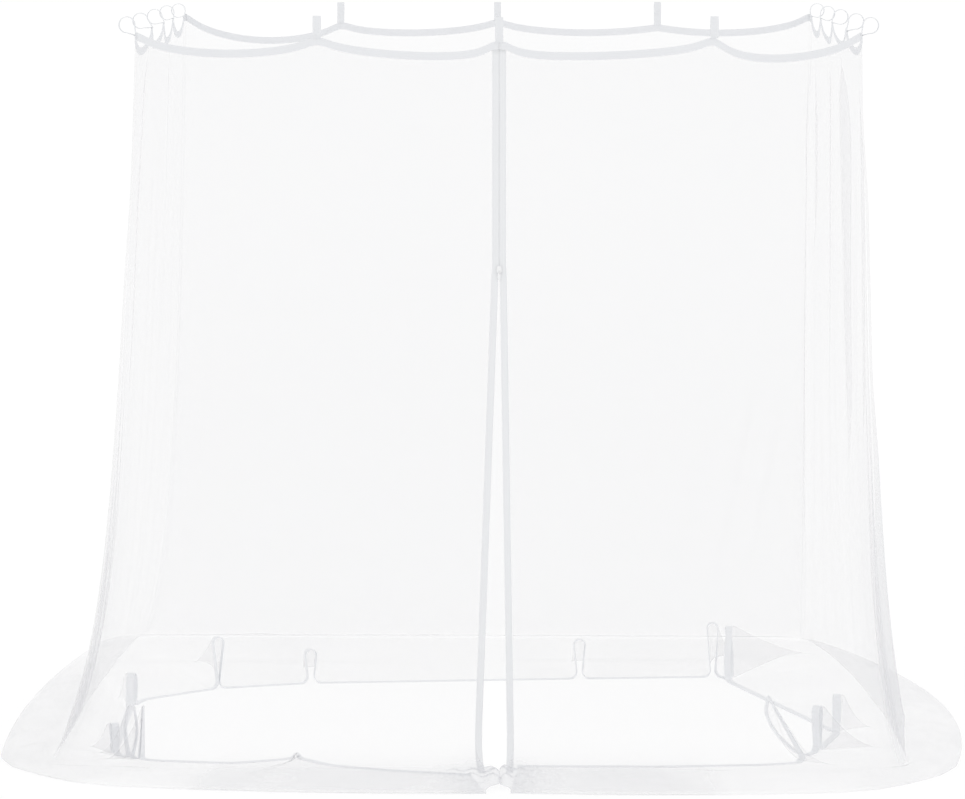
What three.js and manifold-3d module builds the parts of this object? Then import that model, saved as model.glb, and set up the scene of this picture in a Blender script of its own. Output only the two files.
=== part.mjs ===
// Gazebo mosquito net: an open-topped, floorless room of sheer net, hung by tape loops, with a zipped
// door in the front and its spare length lying on the floor. Millimetres, +Z up, the door faces -Y.
import * as THREE from 'three';
import Module from 'manifold-3d';

const wasm = await Module();
wasm.setup();

// Driving dimensions
const SIDE = 1000;             // half the side of the square that the loops span
const HANG = 2000;             // feet of the loops above the floor
const NET_THICK = 1.6;
const TAPE_THICK = 2;
const TAPE_WIDE = 22;
const ZIP_WIDE = 18;           // one half of the zip, from its sewn edge to its coil
const COIL_WIDE = 3;
const COIL_THICK = 4;
const GAP = 0.3;               // between neighbouring pieces
const SEAM_GAP = 0.7;          // between two walls at a corner
const FOLD_RADIUS = 5;         // outer fold of the cloth that lies on the floor
const LOOP = { wide: 39, tall: 62, foot: 9, points: 10 };
const SLIDER = { height: 1370, tall: 19, wideTop: 11, wideFoot: 15, plate: 1.6 };
const SLIDER_POST = { tall: 6, halfFoot: 1.6, halfTop: 0.9 };
const PULLER = { wide: 9, tall: 27, thick: 1.6, eye: 4.4, bar: 2.4 };
const BRIDGE = { wide: 2.6, bar: 1.6, tall: 8 };

// Levels of the cloth in its height: floor layer, and the layer that lies over it up to the outer fold
const FLOOR_MID = TAPE_THICK / 2;
const LAY_MID = FLOOR_MID + 2 * FOLD_RADIUS;

// Places round the net are distances along the top edge, counter-clockwise from the middle of the door
const AROUND = 8 * SIDE;
const CORNERS = [SIDE, 3 * SIDE, 5 * SIDE, 7 * SIDE];
const EDGE = ZIP_WIDE + 1.5 * GAP;   // from the middle of the door to the net

// Where the corners and the net's two door edges stand at the top, at the foot of the walls and at the
// outer fold on the floor, [x, y], and the length over which that fold is rounded there
const POSTS = {
  doorRight: { at: EDGE, top: [EDGE, -SIDE], foot: [42, -1010], fold: [31, -1385], ease: 60 },
  frontRight: { at: SIDE, top: [SIDE, -SIDE], foot: [1120, -1006], fold: [1250, -1310], ease: 300 },
  backRight: { at: 3 * SIDE, top: [SIDE, SIDE], foot: [980, 990], fold: [1020, 1025], ease: 90 },
  backLeft: { at: 5 * SIDE, top: [-SIDE, SIDE], foot: [-1110, 1010], fold: [-1270, 1060], ease: 120 },
  frontLeft: { at: 7 * SIDE, top: [-SIDE, -SIDE], foot: [-1235, -1020], fold: [-1365, -1265], ease: 300 },
  doorLeft: { at: AROUND - EDGE, top: [-EDGE, -SIDE], foot: [-68, -1010], fold: [-33, -1395], ease: 60 },
};

// Walls in order round the net. out is the way the wall faces, footBulge and foldBulge push the middle
// of its foot and of its outer fold that way, steps is the number of columns in each swag, and hem lists
// the lower edge on the floor: a ruck stands up by that height where one is given, its two stems neck
// apart, leaning to the room by lean at its head, and dies away over reach behind the hem
const WALLS = [
  {
    name: 'front_right', from: 'doorRight', to: 'frontRight', out: [0, -1],
    footBulge: 0, foldBulge: 25, steps: 3,
    hem: [
      { x: 52, y: -1000 },
      { x: 450, y: -1008 },
      { x: 740, y: -985 },
      { x: 822, y: -962 },
    ],
  },
  {
    name: 'right', from: 'frontRight', to: 'backRight', out: [1, 0],
    footBulge: 15, foldBulge: 198, steps: 4,
    hem: [
      { x: 822, y: -962 },
      { x: 832, y: -915, ruck: 170, neck: 14, lean: 70, reach: 90 },
      { x: 892, y: -815, ruck: 136, neck: 12, lean: 0, reach: 180 },
      { x: 968, y: -480, ruck: 106, neck: 16, lean: -10, reach: 130 },
      { x: 726, y: 225, ruck: 168, neck: 12, lean: 0, reach: 330 },
      { x: 692, y: 318 },
    ],
  },
  {
    name: 'back', from: 'backRight', to: 'backLeft', out: [0, 1],
    footBulge: 10, foldBulge: 5, steps: 3,
    hem: [
      { x: 692, y: 318 },
      { x: 640, y: 326, ruck: 176, neck: 10, lean: 0, reach: 420 },
      { x: 249, y: 305, ruck: 120, neck: 20, lean: 0, reach: 330 },
      { x: -572, y: 268, ruck: 106, neck: 26, lean: 0, reach: 300 },
      { x: -846, y: 196, ruck: 157, neck: 8, lean: 0, reach: 380 },
      { x: -885, y: 165 },
    ],
  },
  {
    name: 'left', from: 'backLeft', to: 'frontLeft', out: [-1, 0],
    footBulge: 10, foldBulge: 90, steps: 4,
    hem: [
      { x: -885, y: 165 },
      { x: -1052, y: -30 },
      { x: -1078, y: -210, ruck: 165, neck: 18, lean: 0, reach: 150 },
      { x: -1084, y: -640, ruck: 105, neck: 16, lean: 0, reach: 130 },
      { x: -1008, y: -810, ruck: 134, neck: 12, lean: 0, reach: 180 },
      { x: -962, y: -940 },
    ],
  },
  {
    name: 'front_left', from: 'frontLeft', to: 'doorLeft', out: [0, -1],
    footBulge: 0, foldBulge: 25, steps: 3,
    hem: [
      { x: -962, y: -940 },
      { x: -740, y: -975 },
      { x: -560, y: -945, ruck: 26, neck: 30, lean: 0, reach: 40 },
      { x: -420, y: -1110 },
      { x: -78, y: -1165 },
    ],
  },
];

// Swags of the top edge between one loop and the next: where each ends, and how far it sags
const SWAGS = [
  { end: 600, sag: 47 },
  { end: 1000, sag: 52 },
  { end: 1500, sag: 38 },
  { end: 2000, sag: 36 },
  { end: 2500, sag: 40 },
  { end: 3000, sag: 37 },
  { end: 3490, sag: 33 },
  { end: 4000, sag: 40 },
  { end: 4500, sag: 38 },
  { end: 5000, sag: 61 },
  { end: 5500, sag: 37 },
  { end: 6000, sag: 40 },
  { end: 6500, sag: 36 },
  { end: 7000, sag: 38 },
  { end: 7500, sag: 35 },
  { end: 8000, sag: 44 },
];

// Soft upright folds of the walls: place, half width, depth towards the outside, and how far the fold
// drifts round the net on its way to the floor
const PLEATS = [
  { at: 1250, wide: 100, depth: 26, drift: -30 },
  { at: 1600, wide: 110, depth: -18, drift: 0 },
  { at: 1900, wide: 105, depth: 28, drift: -40 },
  { at: 2380, wide: 110, depth: 20, drift: 20 },
  { at: 3450, wide: 110, depth: -22, drift: 260 },
  { at: 5480, wide: 120, depth: 16, drift: 40 },
  { at: 6420, wide: 130, depth: 28, drift: 60 },
];

// Loops: place along the top edge, outward lean, and the number that ends the name
const SIDE_LEAN = Math.tan(THREE.MathUtils.degToRad(24));
const FACE_LEAN = Math.tan(THREE.MathUtils.degToRad(6));
const LOOPS = [
  { side: 'front', lean: FACE_LEAN, places: [7500, 8000, 600] },
  { side: 'right', lean: SIDE_LEAN, places: [1000, 1500, 2000, 2500, 3000] },
  { side: 'back', lean: FACE_LEAN, places: [3490, 4000, 4500] },
  { side: 'left', lean: SIDE_LEAN, places: [5000, 5500, 6000, 6500, 7000] },
];

const NET_FINISH = { color: 0xf4f5f7, roughness: 0.85, metalness: 0 };
const TAPE_FINISH = { color: 0xe6e7ea, roughness: 0.9, metalness: 0 };
const METAL_FINISH = { color: 0xd5d7da, roughness: 0.35, metalness: 0.9 };

const mix = (a, b, k) => a + (b - a) * k;
const mixPair = (a, b, k) => [mix(a[0], b[0], k), mix(a[1], b[1], k)];
const clamp = (value, low, high) => Math.min(Math.max(value, low), high);

// Share of the way from the top to the foot that a wall has moved outwards, at share t of its drop
const flare = (t) => 0.3 * t + 0.25 * t ** 2 + 0.45 * t ** 8;

const dropShare = (height) => (HANG - height) / (HANG - LAY_MID);
const SLIDER_TOP = dropShare(SLIDER.height + SLIDER.tall / 2);
const SLIDER_FOOT = dropShare(SLIDER.height - SLIDER.tall / 2);
const DOOR_AT_POST = SLIDER_POST.halfFoot + GAP;

// Share of its spread that a door edge has parted: shut above the slider, then open to the floor
function doorSpread(t, spread) {
  if (t < SLIDER_TOP) return 0;
  const atPost = DOOR_AT_POST / spread;
  if (t < SLIDER_FOOT) return (atPost * (t - SLIDER_TOP)) / (SLIDER_FOOT - SLIDER_TOP);
  return mix(atPost, 1, (t - SLIDER_FOOT) / (1 - SLIDER_FOOT));
}

function postAtDrop(name, t) {
  const post = POSTS[name];
  if (!name.startsWith('door')) return mixPair(post.top, post.foot, flare(t));
  const k = doorSpread(t, Math.abs(post.foot[0] - post.top[0]));
  return [mix(post.top[0], post.foot[0], k), mix(post.top[1], post.foot[1], flare(t))];
}

const wallAt = (p) => WALLS.find((wall) => p <= POSTS[wall.to].at) ?? WALLS.at(-1);

// Straight run between a wall's two posts, its middle pushed outwards by bulge; beyond the net's door
// edges the run goes straight on, where the zip is
function alongWall(p, postPlace, bulgeOf) {
  const wall = wallAt(p);
  const start = POSTS[wall.from].at;
  const end = POSTS[wall.to].at;
  const inside = clamp(p, start, end);
  const s = (inside - start) / (end - start);
  const [x, y] = mixPair(postPlace(wall.from), postPlace(wall.to), s);
  const push = bulgeOf(wall) * 4 * s * (1 - s);
  return [x + wall.out[0] * push + (p - inside), y + wall.out[1] * push];
}

// Rounds a run at the corners by averaging it over a short length to each side
const EASE_TAPS = [-1, -0.5, 0, 0.5, 1];
function eased(run, p, reach) {
  const span = Math.min(reach, Math.abs(p - EDGE), Math.abs(AROUND - EDGE - p));
  const places = EASE_TAPS.map((tap) => run(p + tap * span));
  return [0, 1].map((axis) => places.reduce((sum, place) => sum + place[axis], 0) / places.length);
}

const CORNER_EASE = { top: 30, foot: 70 };
const wallPlace = (p, t) => eased(
  (q) => alongWall(q, (name) => postAtDrop(name, t), (wall) => wall.footBulge * flare(t)),
  p, mix(CORNER_EASE.top, CORNER_EASE.foot, t),
);
function foldPlace(p) {
  const wall = wallAt(p);
  const [from, to] = [POSTS[wall.from], POSTS[wall.to]];
  const ease = mix(from.ease, to.ease, clamp((p - from.at) / (to.at - from.at), 0, 1));
  return eased((q) => alongWall(q, (name) => POSTS[name].fold, (w) => w.foldBulge), p, ease);
}

// Height of the scalloped top edge: each swag is a parabola
function topHeight(p) {
  const q = clamp(p, 0, AROUND);
  const index = SWAGS.findIndex((swag) => q <= swag.end);
  const start = index === 0 ? 0 : SWAGS[index - 1].end;
  const s = (q - start) / (SWAGS[index].end - start);
  return HANG - SWAGS[index].sag * 4 * s * (1 - s);
}

// Outward push of the upright folds, which start below the top tape and die away to the floor
function pleatPush(p, t) {
  const fade = Math.min(1, t / 0.08) * (1 - t);
  return PLEATS.reduce((sum, pleat) => {
    const off = (p - pleat.at - pleat.drift * t) / pleat.wide;
    return sum + pleat.depth * fade * Math.exp(-off * off);
  }, 0);
}

function wallPoint(p, t) {
  const [x, y] = wallPlace(p, t);
  const push = pleatPush(p, t);
  const { out } = wallAt(p);
  return new THREE.Vector3(x + out[0] * push, y + out[1] * push, mix(topHeight(p), LAY_MID, t));
}

// Point after walking a distance along stretches of steady curvature, each with its length and its turn
function walk(stretches, distance) {
  let along = 0;
  let up = 0;
  let heading = 0;
  let left = distance;
  for (const { length, turn } of stretches) {
    const step = clamp(left, 0, length);
    const bend = (turn * step) / length;
    const chord = bend === 0 ? step : (step * Math.sin(bend / 2)) / (bend / 2);
    along += chord * Math.cos(heading + bend / 2);
    up += chord * Math.sin(heading + bend / 2);
    heading += bend;
    left -= step;
  }
  return { along, up };
}

// A ruck of the hem: out of the floor by a round foot, up a stem, round the head and down again
const RUCK_FOOT = 22;
const RUCK_HEAD = 17;
function makeRuck(row) {
  const arcs = RUCK_FOOT + RUCK_HEAD;
  const stem = Math.max(0, row.ruck - arcs);
  const turn = stem > 0
    ? Math.acos(-clamp((RUCK_HEAD - row.neck / 2) / stem, -0.3, 0.3))
    : Math.acos(1 - row.ruck / arcs);
  const foot = { length: RUCK_FOOT * turn, turn };
  const rise = { length: stem, turn: 0 };
  const head = { length: 2 * RUCK_HEAD * turn, turn: -2 * turn };
  const stretches = stem > 0 ? [foot, rise, head, rise, foot] : [foot, head, foot];
  const length = stretches.reduce((sum, stretch) => sum + stretch.length, 0);
  return { ...row, stretches, length, advance: walk(stretches, length).along };
}

// Hem of one wall laid out: the distances of its rows along the floor, its rucks and its whole length
function layHem(wall) {
  const distances = [0];
  for (let i = 1; i < wall.hem.length; i += 1) {
    const step = Math.hypot(wall.hem[i].x - wall.hem[i - 1].x, wall.hem[i].y - wall.hem[i - 1].y);
    distances.push(distances[i - 1] + step);
  }
  const rucks = [];
  let spare = 0;
  wall.hem.forEach((row, i) => {
    if (!row.ruck) return;
    const ruck = makeRuck(row);
    const start = distances[i] - ruck.advance / 2;
    rucks.push({ ...ruck, start, clothStart: start + spare });
    spare += ruck.length - ruck.advance;
  });
  return { distances, rucks, floorLength: distances.at(-1), clothLength: distances.at(-1) + spare };
}
const HEMS = Object.fromEntries(WALLS.map((wall) => [wall.name, layHem(wall)]));

const HEM_EASE = 28;
function hemRun(wall, distance) {
  const { distances } = HEMS[wall.name];
  const last = distances.length - 1;
  const i = clamp(distances.findIndex((d) => d >= distance), 1, last);
  const k = (distance - distances[i - 1]) / (distances[i] - distances[i - 1]);
  return [mix(wall.hem[i - 1].x, wall.hem[i].x, k), mix(wall.hem[i - 1].y, wall.hem[i].y, k)];
}
function hemFloor(wall, distance) {
  const whole = HEMS[wall.name].floorLength;
  const span = clamp(Math.min(distance, whole - distance), 0, HEM_EASE);
  const places = EASE_TAPS.map((tap) => hemRun(wall, distance + tap * span));
  return [0, 1].map((axis) => places.reduce((sum, place) => sum + place[axis], 0) / places.length);
}

// Level way from the hem to the outside: square to it, but towards the fold near the ends of a wall
const HEM_TURN = 60;
function hemOutward(wall, distance, x, y, fold) {
  const back = hemFloor(wall, distance - 1);
  const ahead = hemFloor(wall, distance + 1);
  const square = new THREE.Vector3(ahead[1] - back[1], back[0] - ahead[0], 0).normalize();
  const toFold = new THREE.Vector3(fold[0] - x, fold[1] - y, 0).normalize();
  const nearEnd = 1 - Math.min(distance, HEMS[wall.name].floorLength - distance) / HEM_TURN;
  return square.lerp(toFold, clamp(nearEnd, 0, 1)).normalize();
}

// Place of the hem at p with its rucks: where it lies or stands, how high, its way outwards and its reach
function hemPoint(p) {
  const wall = wallAt(p);
  const { rucks, clothLength } = HEMS[wall.name];
  const start = POSTS[wall.from].at;
  const cloth = (clothLength * (p - start)) / (POSTS[wall.to].at - start);
  const fold = foldPlace(p);
  let spare = 0;
  for (const ruck of rucks) {
    if (cloth < ruck.clothStart) break;
    const inside = cloth - ruck.clothStart;
    if (inside > ruck.length) {
      spare += ruck.length - ruck.advance;
      continue;
    }
    const { along, up } = walk(ruck.stretches, inside);
    const even = (ruck.advance * inside) / ruck.length;
    const before = hemFloor(wall, ruck.start);
    const after = hemFloor(wall, ruck.start + ruck.advance);
    const [x, y] = hemFloor(wall, ruck.start + even);
    const slide = (along - even) / ruck.advance;
    const tip = (ruck.lean * up) / ruck.ruck;
    const outward = hemOutward(wall, ruck.start + even, x, y, fold);
    const place = new THREE.Vector3(x, y, 0).addScaledVector(outward, -tip);
    place.x += (after[0] - before[0]) * slide;
    place.y += (after[1] - before[1]) * slide;
    return { place, up, outward, reach: ruck.reach };
  }
  const [x, y] = hemFloor(wall, cloth - spare);
  const outward = hemOutward(wall, cloth - spare, x, y, fold);
  return { place: new THREE.Vector3(x, y, 0), up: 0, outward, reach: 1 };
}

// The return below from the outer fold to the hem: the hem's shape is kept over the steady stretch next to
// it, and from there each thread runs straight to the fold
const STEADY = 30;
function layReturn(p) {
  const fold = new THREE.Vector3(...foldPlace(p), 0);
  const hem = hemPoint(p);
  const steadyEnd = hem.place.clone().addScaledVector(hem.outward, STEADY);
  const inward = steadyEnd.clone().sub(fold);
  const length = STEADY + inward.length() - FOLD_RADIUS;
  return { fold, hem, steadyEnd, inward: inward.normalize(), length };
}

// The cloth as one surface: p round the net, level down its length. Level 0 to 1 is the wall, to 2 the
// bend at its foot, to 3 the cloth lying outwards, to 4 the outer fold, to 5 the return below to the hem
const WALL_END = 0.945;
const LAY_START = 0.35;
function netPoint(p, level) {
  if (level <= 1) return wallPoint(p, level * WALL_END);
  const { fold, hem, steadyEnd, inward, length } = layReturn(p);
  const brow = fold.clone().addScaledVector(inward, FOLD_RADIUS).setZ(LAY_MID);
  const foot = wallPoint(p, 1);
  if (level <= 2) {
    const k = level - 1;
    const a = wallPoint(p, WALL_END).lerp(foot, k);
    const b = foot.clone().lerp(foot.clone().lerp(brow, LAY_START), k);
    return a.lerp(b, k);
  }
  if (level <= 3) return foot.lerp(brow, mix(LAY_START, 1, level - 2));
  if (level <= 4) {
    const turn = Math.PI * (level - 3);
    const point = fold.addScaledVector(inward, FOLD_RADIUS * (1 - Math.sin(turn)));
    return point.setZ(FLOOR_MID + FOLD_RADIUS * (1 + Math.cos(turn)));
  }
  const behind = (5 - level) * length;
  const fade = clamp(1 - Math.max(0, behind - STEADY) / hem.reach, 0, 1) ** 2;
  const point = behind < STEADY
    ? hem.place.addScaledVector(hem.outward, behind)
    : steadyEnd.addScaledVector(inward, STEADY - behind);
  return point.setZ(FLOOR_MID + hem.up * fade);
}

// Level of the cloth that lies a distance behind the hem
const levelBehindHem = (p, distance) => 5 - distance / layReturn(p).length;

function solidOf(points, triangles) {
  const geometry = new THREE.BufferGeometry();
  geometry.setAttribute('position', new THREE.Float32BufferAttribute(points.flatMap((v) => v.toArray()), 3));
  geometry.setIndex(triangles.flat());
  geometry.computeVertexNormals();
  return geometry;
}

// Way that a surface faces at one place, from its slopes along both parameters
const STEP_P = 0.5;
const STEP_LEVEL = 0.004;
function facing(surface, p, level) {
  const round = surface(p + STEP_P, level).sub(surface(p - STEP_P, level));
  const high = clamp(level - STEP_LEVEL, 0, 5);
  const low = clamp(level + STEP_LEVEL, 0, 5);
  const down = surface(p, low).sub(surface(p, high));
  return down.cross(round).normalize();
}

// Closed sheet: rows give the level at each p, columns the places of each row, half its half thickness.
// Neighbouring rows may have different columns; the strip between them steps along whichever is behind
function sheet(rows, columnsOf, half) {
  const upper = [];
  const lower = [];
  const rings = rows.map((levelAt, row) => columnsOf(row).map((p) => {
    const level = levelAt(p);
    const point = netPoint(p, level);
    const normal = facing(netPoint, p, level).multiplyScalar(half(p));
    upper.push(point.clone().add(normal));
    lower.push(point.sub(normal));
    return { p, index: upper.length - 1 };
  }));
  const skin = [];
  for (let row = 1; row < rings.length; row += 1) {
    const [a, b] = [rings[row - 1], rings[row]];
    let i = 0;
    let j = 0;
    while (i < a.length - 1 || j < b.length - 1) {
      const stepA = j === b.length - 1 || (i < a.length - 1 && a[i + 1].p <= b[j + 1].p);
      if (stepA) {
        skin.push([a[i].index, b[j].index, a[i + 1].index]);
        i += 1;
      } else {
        skin.push([a[i].index, b[j].index, b[j + 1].index]);
        j += 1;
      }
    }
  }
  return thicken(upper, lower, skin);
}

// Joins two skins of the same triangles into one closed shell with a rim round their open edge
function thicken(upper, lower, skin) {
  const count = upper.length;
  const key = (a, b) => a * count + b;
  const edges = new Set();
  skin.forEach(([a, b, c]) => [[a, b], [b, c], [c, a]].forEach(([s, e]) => edges.add(key(s, e))));
  const triangles = skin.map((face) => [...face]);
  skin.forEach(([a, b, c]) => triangles.push([a + count, c + count, b + count]));
  skin.forEach(([a, b, c]) => [[a, b], [b, c], [c, a]].forEach(([s, e]) => {
    if (edges.has(key(e, s))) return;
    triangles.push([e, s, s + count], [e, s + count, e + count]);
  }));
  return solidOf([...upper, ...lower], triangles);
}

function addPiece(group, name, geometry, finish) {
  const mesh = new THREE.Mesh(geometry, new THREE.MeshStandardMaterial(finish));
  mesh.name = name;
  group.add(mesh);
  return mesh;
}

function evenSteps(start, end, steps) {
  return Array.from({ length: steps + 1 }, (_, i) => mix(start, end, i / steps));
}
const sorted = (places) => [...new Set(places)].sort((a, b) => a - b);

// Columns of a wall between two places: steps in each swag, and a few round its corners
const CORNER_COLUMNS = [14, 45, 120];
function columnsBetween(start, end, steps) {
  const places = [start, end];
  let from = 0;
  SWAGS.forEach((swag) => {
    places.push(...evenSteps(from, swag.end, steps));
    from = swag.end;
  });
  CORNERS.forEach((corner) => {
    CORNER_COLUMNS.forEach((off) => places.push(corner - off, corner + off));
  });
  return sorted(places.filter((p) => p >= start && p <= end));
}

// Columns that a wall's rucks need besides: the ends of their stretches and steps round their arcs
const ARC_STEPS = { foot: 2, head: 5 };
function ruckColumns(wall) {
  const { rucks, clothLength } = HEMS[wall.name];
  const start = POSTS[wall.from].at;
  const scale = (POSTS[wall.to].at - start) / clothLength;
  return rucks.flatMap((ruck) => {
    let from = ruck.clothStart;
    return ruck.stretches.flatMap(({ length, turn }) => {
      const steps = turn === 0 ? 1 : turn < 0 ? ARC_STEPS.head : ARC_STEPS.foot;
      const places = evenSteps(from, from + length, steps).map((cloth) => start + cloth * scale);
      from += length;
      return places;
    });
  });
}

const TAPE_LEVEL = TAPE_WIDE / (HANG - LAY_MID) / WALL_END;
const NET_TOP_LEVEL = (TAPE_WIDE + GAP) / (HANG - LAY_MID) / WALL_END;
const WALL_LEVELS = [0.05, 0.17, SLIDER_TOP / WALL_END, SLIDER_FOOT / WALL_END, 0.5, 0.66, 0.8, 0.91, 1];
const FLOOR_LEVELS = [1.5, 2, 3, 3.5, 4];
const RETURN_LEVELS = [4.4, 4.65, 4.82];
const TOP_STEPS = 6;

function addWall(group, wall) {
  const doorStart = wall.from.startsWith('door');
  const doorEnd = wall.to.startsWith('door');
  const start = POSTS[wall.from].at + (doorStart ? 0 : SEAM_GAP / 2);
  const end = POSTS[wall.to].at - (doorEnd ? 0 : SEAM_GAP / 2);
  const inWall = (p) => p > start && p < end;
  const topColumns = columnsBetween(start, end, TOP_STEPS);
  const wallColumns = columnsBetween(start, end, wall.steps);
  const hemColumns = sorted([...wallColumns, ...ruckColumns(wall).filter(inWall)]);

  const levels = [NET_TOP_LEVEL, ...WALL_LEVELS, ...FLOOR_LEVELS, ...RETURN_LEVELS];
  const rows = levels.map((level) => () => level);
  rows.push((p) => levelBehindHem(p, STEADY), (p) => levelBehindHem(p, TAPE_WIDE + GAP));
  const firstReturn = levels.length - RETURN_LEVELS.length;
  const columnsOf = (row) => {
    if (row === 0) return topColumns;
    return row < firstReturn ? wallColumns : hemColumns;
  };
  addPiece(group, `net_${wall.name}`, sheet(rows, columnsOf, () => NET_THICK / 2), NET_FINISH);

  const tapeStart = doorStart ? GAP / 2 : start;
  const tapeEnd = doorEnd ? AROUND - GAP / 2 : end;
  const tapeColumns = columnsBetween(tapeStart, tapeEnd, TOP_STEPS);
  const tapeHalf = () => TAPE_THICK / 2;
  const topTape = sheet([() => 0, () => TAPE_LEVEL], () => tapeColumns, tapeHalf);
  addPiece(group, `top_tape_${wall.name}`, topTape, TAPE_FINISH);

  const hemRows = [(p) => levelBehindHem(p, TAPE_WIDE), () => 5];
  addPiece(group, `hem_tape_${wall.name}`, sheet(hemRows, () => hemColumns, tapeHalf), TAPE_FINISH);
}

// One half of the zip: a tape along the net's door edge that thickens to the coil at its inner edge
const ZIP_LEVELS = [NET_TOP_LEVEL, ...WALL_LEVELS, 1.5, 2, 2.95];
function addZipHalf(group, side) {
  const inner = GAP / 2;
  const offsets = [inner, inner + COIL_WIDE, inner + COIL_WIDE + 1, inner + ZIP_WIDE];
  const columns = sorted(offsets.map((off) => (side === 'right' ? off : AROUND - off)));
  const half = (p) => {
    const off = Math.min(p, AROUND - p);
    return off <= inner + COIL_WIDE ? COIL_THICK / 2 : TAPE_THICK / 2;
  };
  const rows = ZIP_LEVELS.map((level) => () => level);
  addPiece(group, `zip_half_${side}`, sheet(rows, () => columns, half), TAPE_FINISH);
}

// A hanging loop: a ring of tape with a drawn-in foot, standing on the top tape and leaning outwards.
// The ring's outline is a drop, as wide as sin(a) times the root of sin(a / 2)
function loopGeometry(lean) {
  const outline = (inset) => {
    const wide = LOOP.wide / 2 - inset;
    const tall = LOOP.tall - 2 * inset;
    return Array.from({ length: LOOP.points + 1 }, (_, i) => {
      const a = mix(0.1, 0.9, i / LOOP.points) * 2 * Math.PI;
      const up = (inset + (tall * (1 - Math.cos(a))) / 2);
      return new THREE.Vector2(wide * Math.sin(a) * Math.sqrt(Math.sin(a / 2)) + lean * up, up);
    });
  };
  const outer = outline(0);
  const foot = [new THREE.Vector2(-LOOP.foot / 2, 0), new THREE.Vector2(LOOP.foot / 2, 0)];
  const shape = new THREE.Shape([...outer, ...foot]);
  shape.holes.push(new THREE.Path(outline(TAPE_THICK)));
  const geometry = new THREE.ExtrudeGeometry(shape, { depth: TAPE_WIDE, bevelEnabled: false });
  return geometry.translate(0, 0, -TAPE_WIDE / 2);
}

// Turn that stands a loop's outline upright across each side's top edge, its lean to the outside
const LOOP_TURN = { front: -Math.PI / 2, right: 0, back: Math.PI / 2, left: Math.PI };
function addLoops(group) {
  LOOPS.forEach(({ side, lean, places }) => places.forEach((p, i) => {
    const [x, y] = wallPlace(p, 0);
    const geometry = loopGeometry(lean).rotateX(Math.PI / 2);
    const loop = addPiece(group, `loop_${side}_${i + 1}`, geometry, TAPE_FINISH);
    loop.position.set(p === AROUND ? 0 : x, y, HANG + GAP);
    loop.rotation.z = LOOP_TURN[side];
  }));
}

// Joins overlapping closed geometries into one
function join(geometries) {
  const solids = geometries.map((geometry) => {
    const source = geometry.index ? geometry.toNonIndexed() : geometry;
    const position = source.getAttribute('position');
    const mesh = new wasm.Mesh({
      numProp: 3,
      vertProperties: new Float32Array(position.array),
      triVerts: Uint32Array.from({ length: position.count }, (_, i) => i),
    });
    mesh.merge();
    return new wasm.Manifold(mesh);
  });
  const { vertProperties, triVerts } = solids.reduce((a, b) => a.add(b)).getMesh();
  const geometry = new THREE.BufferGeometry();
  geometry.setAttribute('position', new THREE.BufferAttribute(vertProperties, 3));
  geometry.setIndex(new THREE.BufferAttribute(triVerts, 1));
  return geometry;
}

// Flat plate across the door: an outline in x and z, from depth y to y + thick
function plate(outline, y, thick, hole) {
  const shape = new THREE.Shape(outline.map(([x, z]) => new THREE.Vector2(x, z)));
  if (hole) shape.holes.push(new THREE.Path(hole.map(([x, z]) => new THREE.Vector2(x, z))));
  const geometry = new THREE.ExtrudeGeometry(shape, { depth: thick, bevelEnabled: false });
  return geometry.rotateX(Math.PI / 2).translate(0, y + thick, 0);
}
const box = (x0, x1, z0, z1) => [[x0, z0], [x1, z0], [x1, z1], [x0, z1]];

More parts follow.
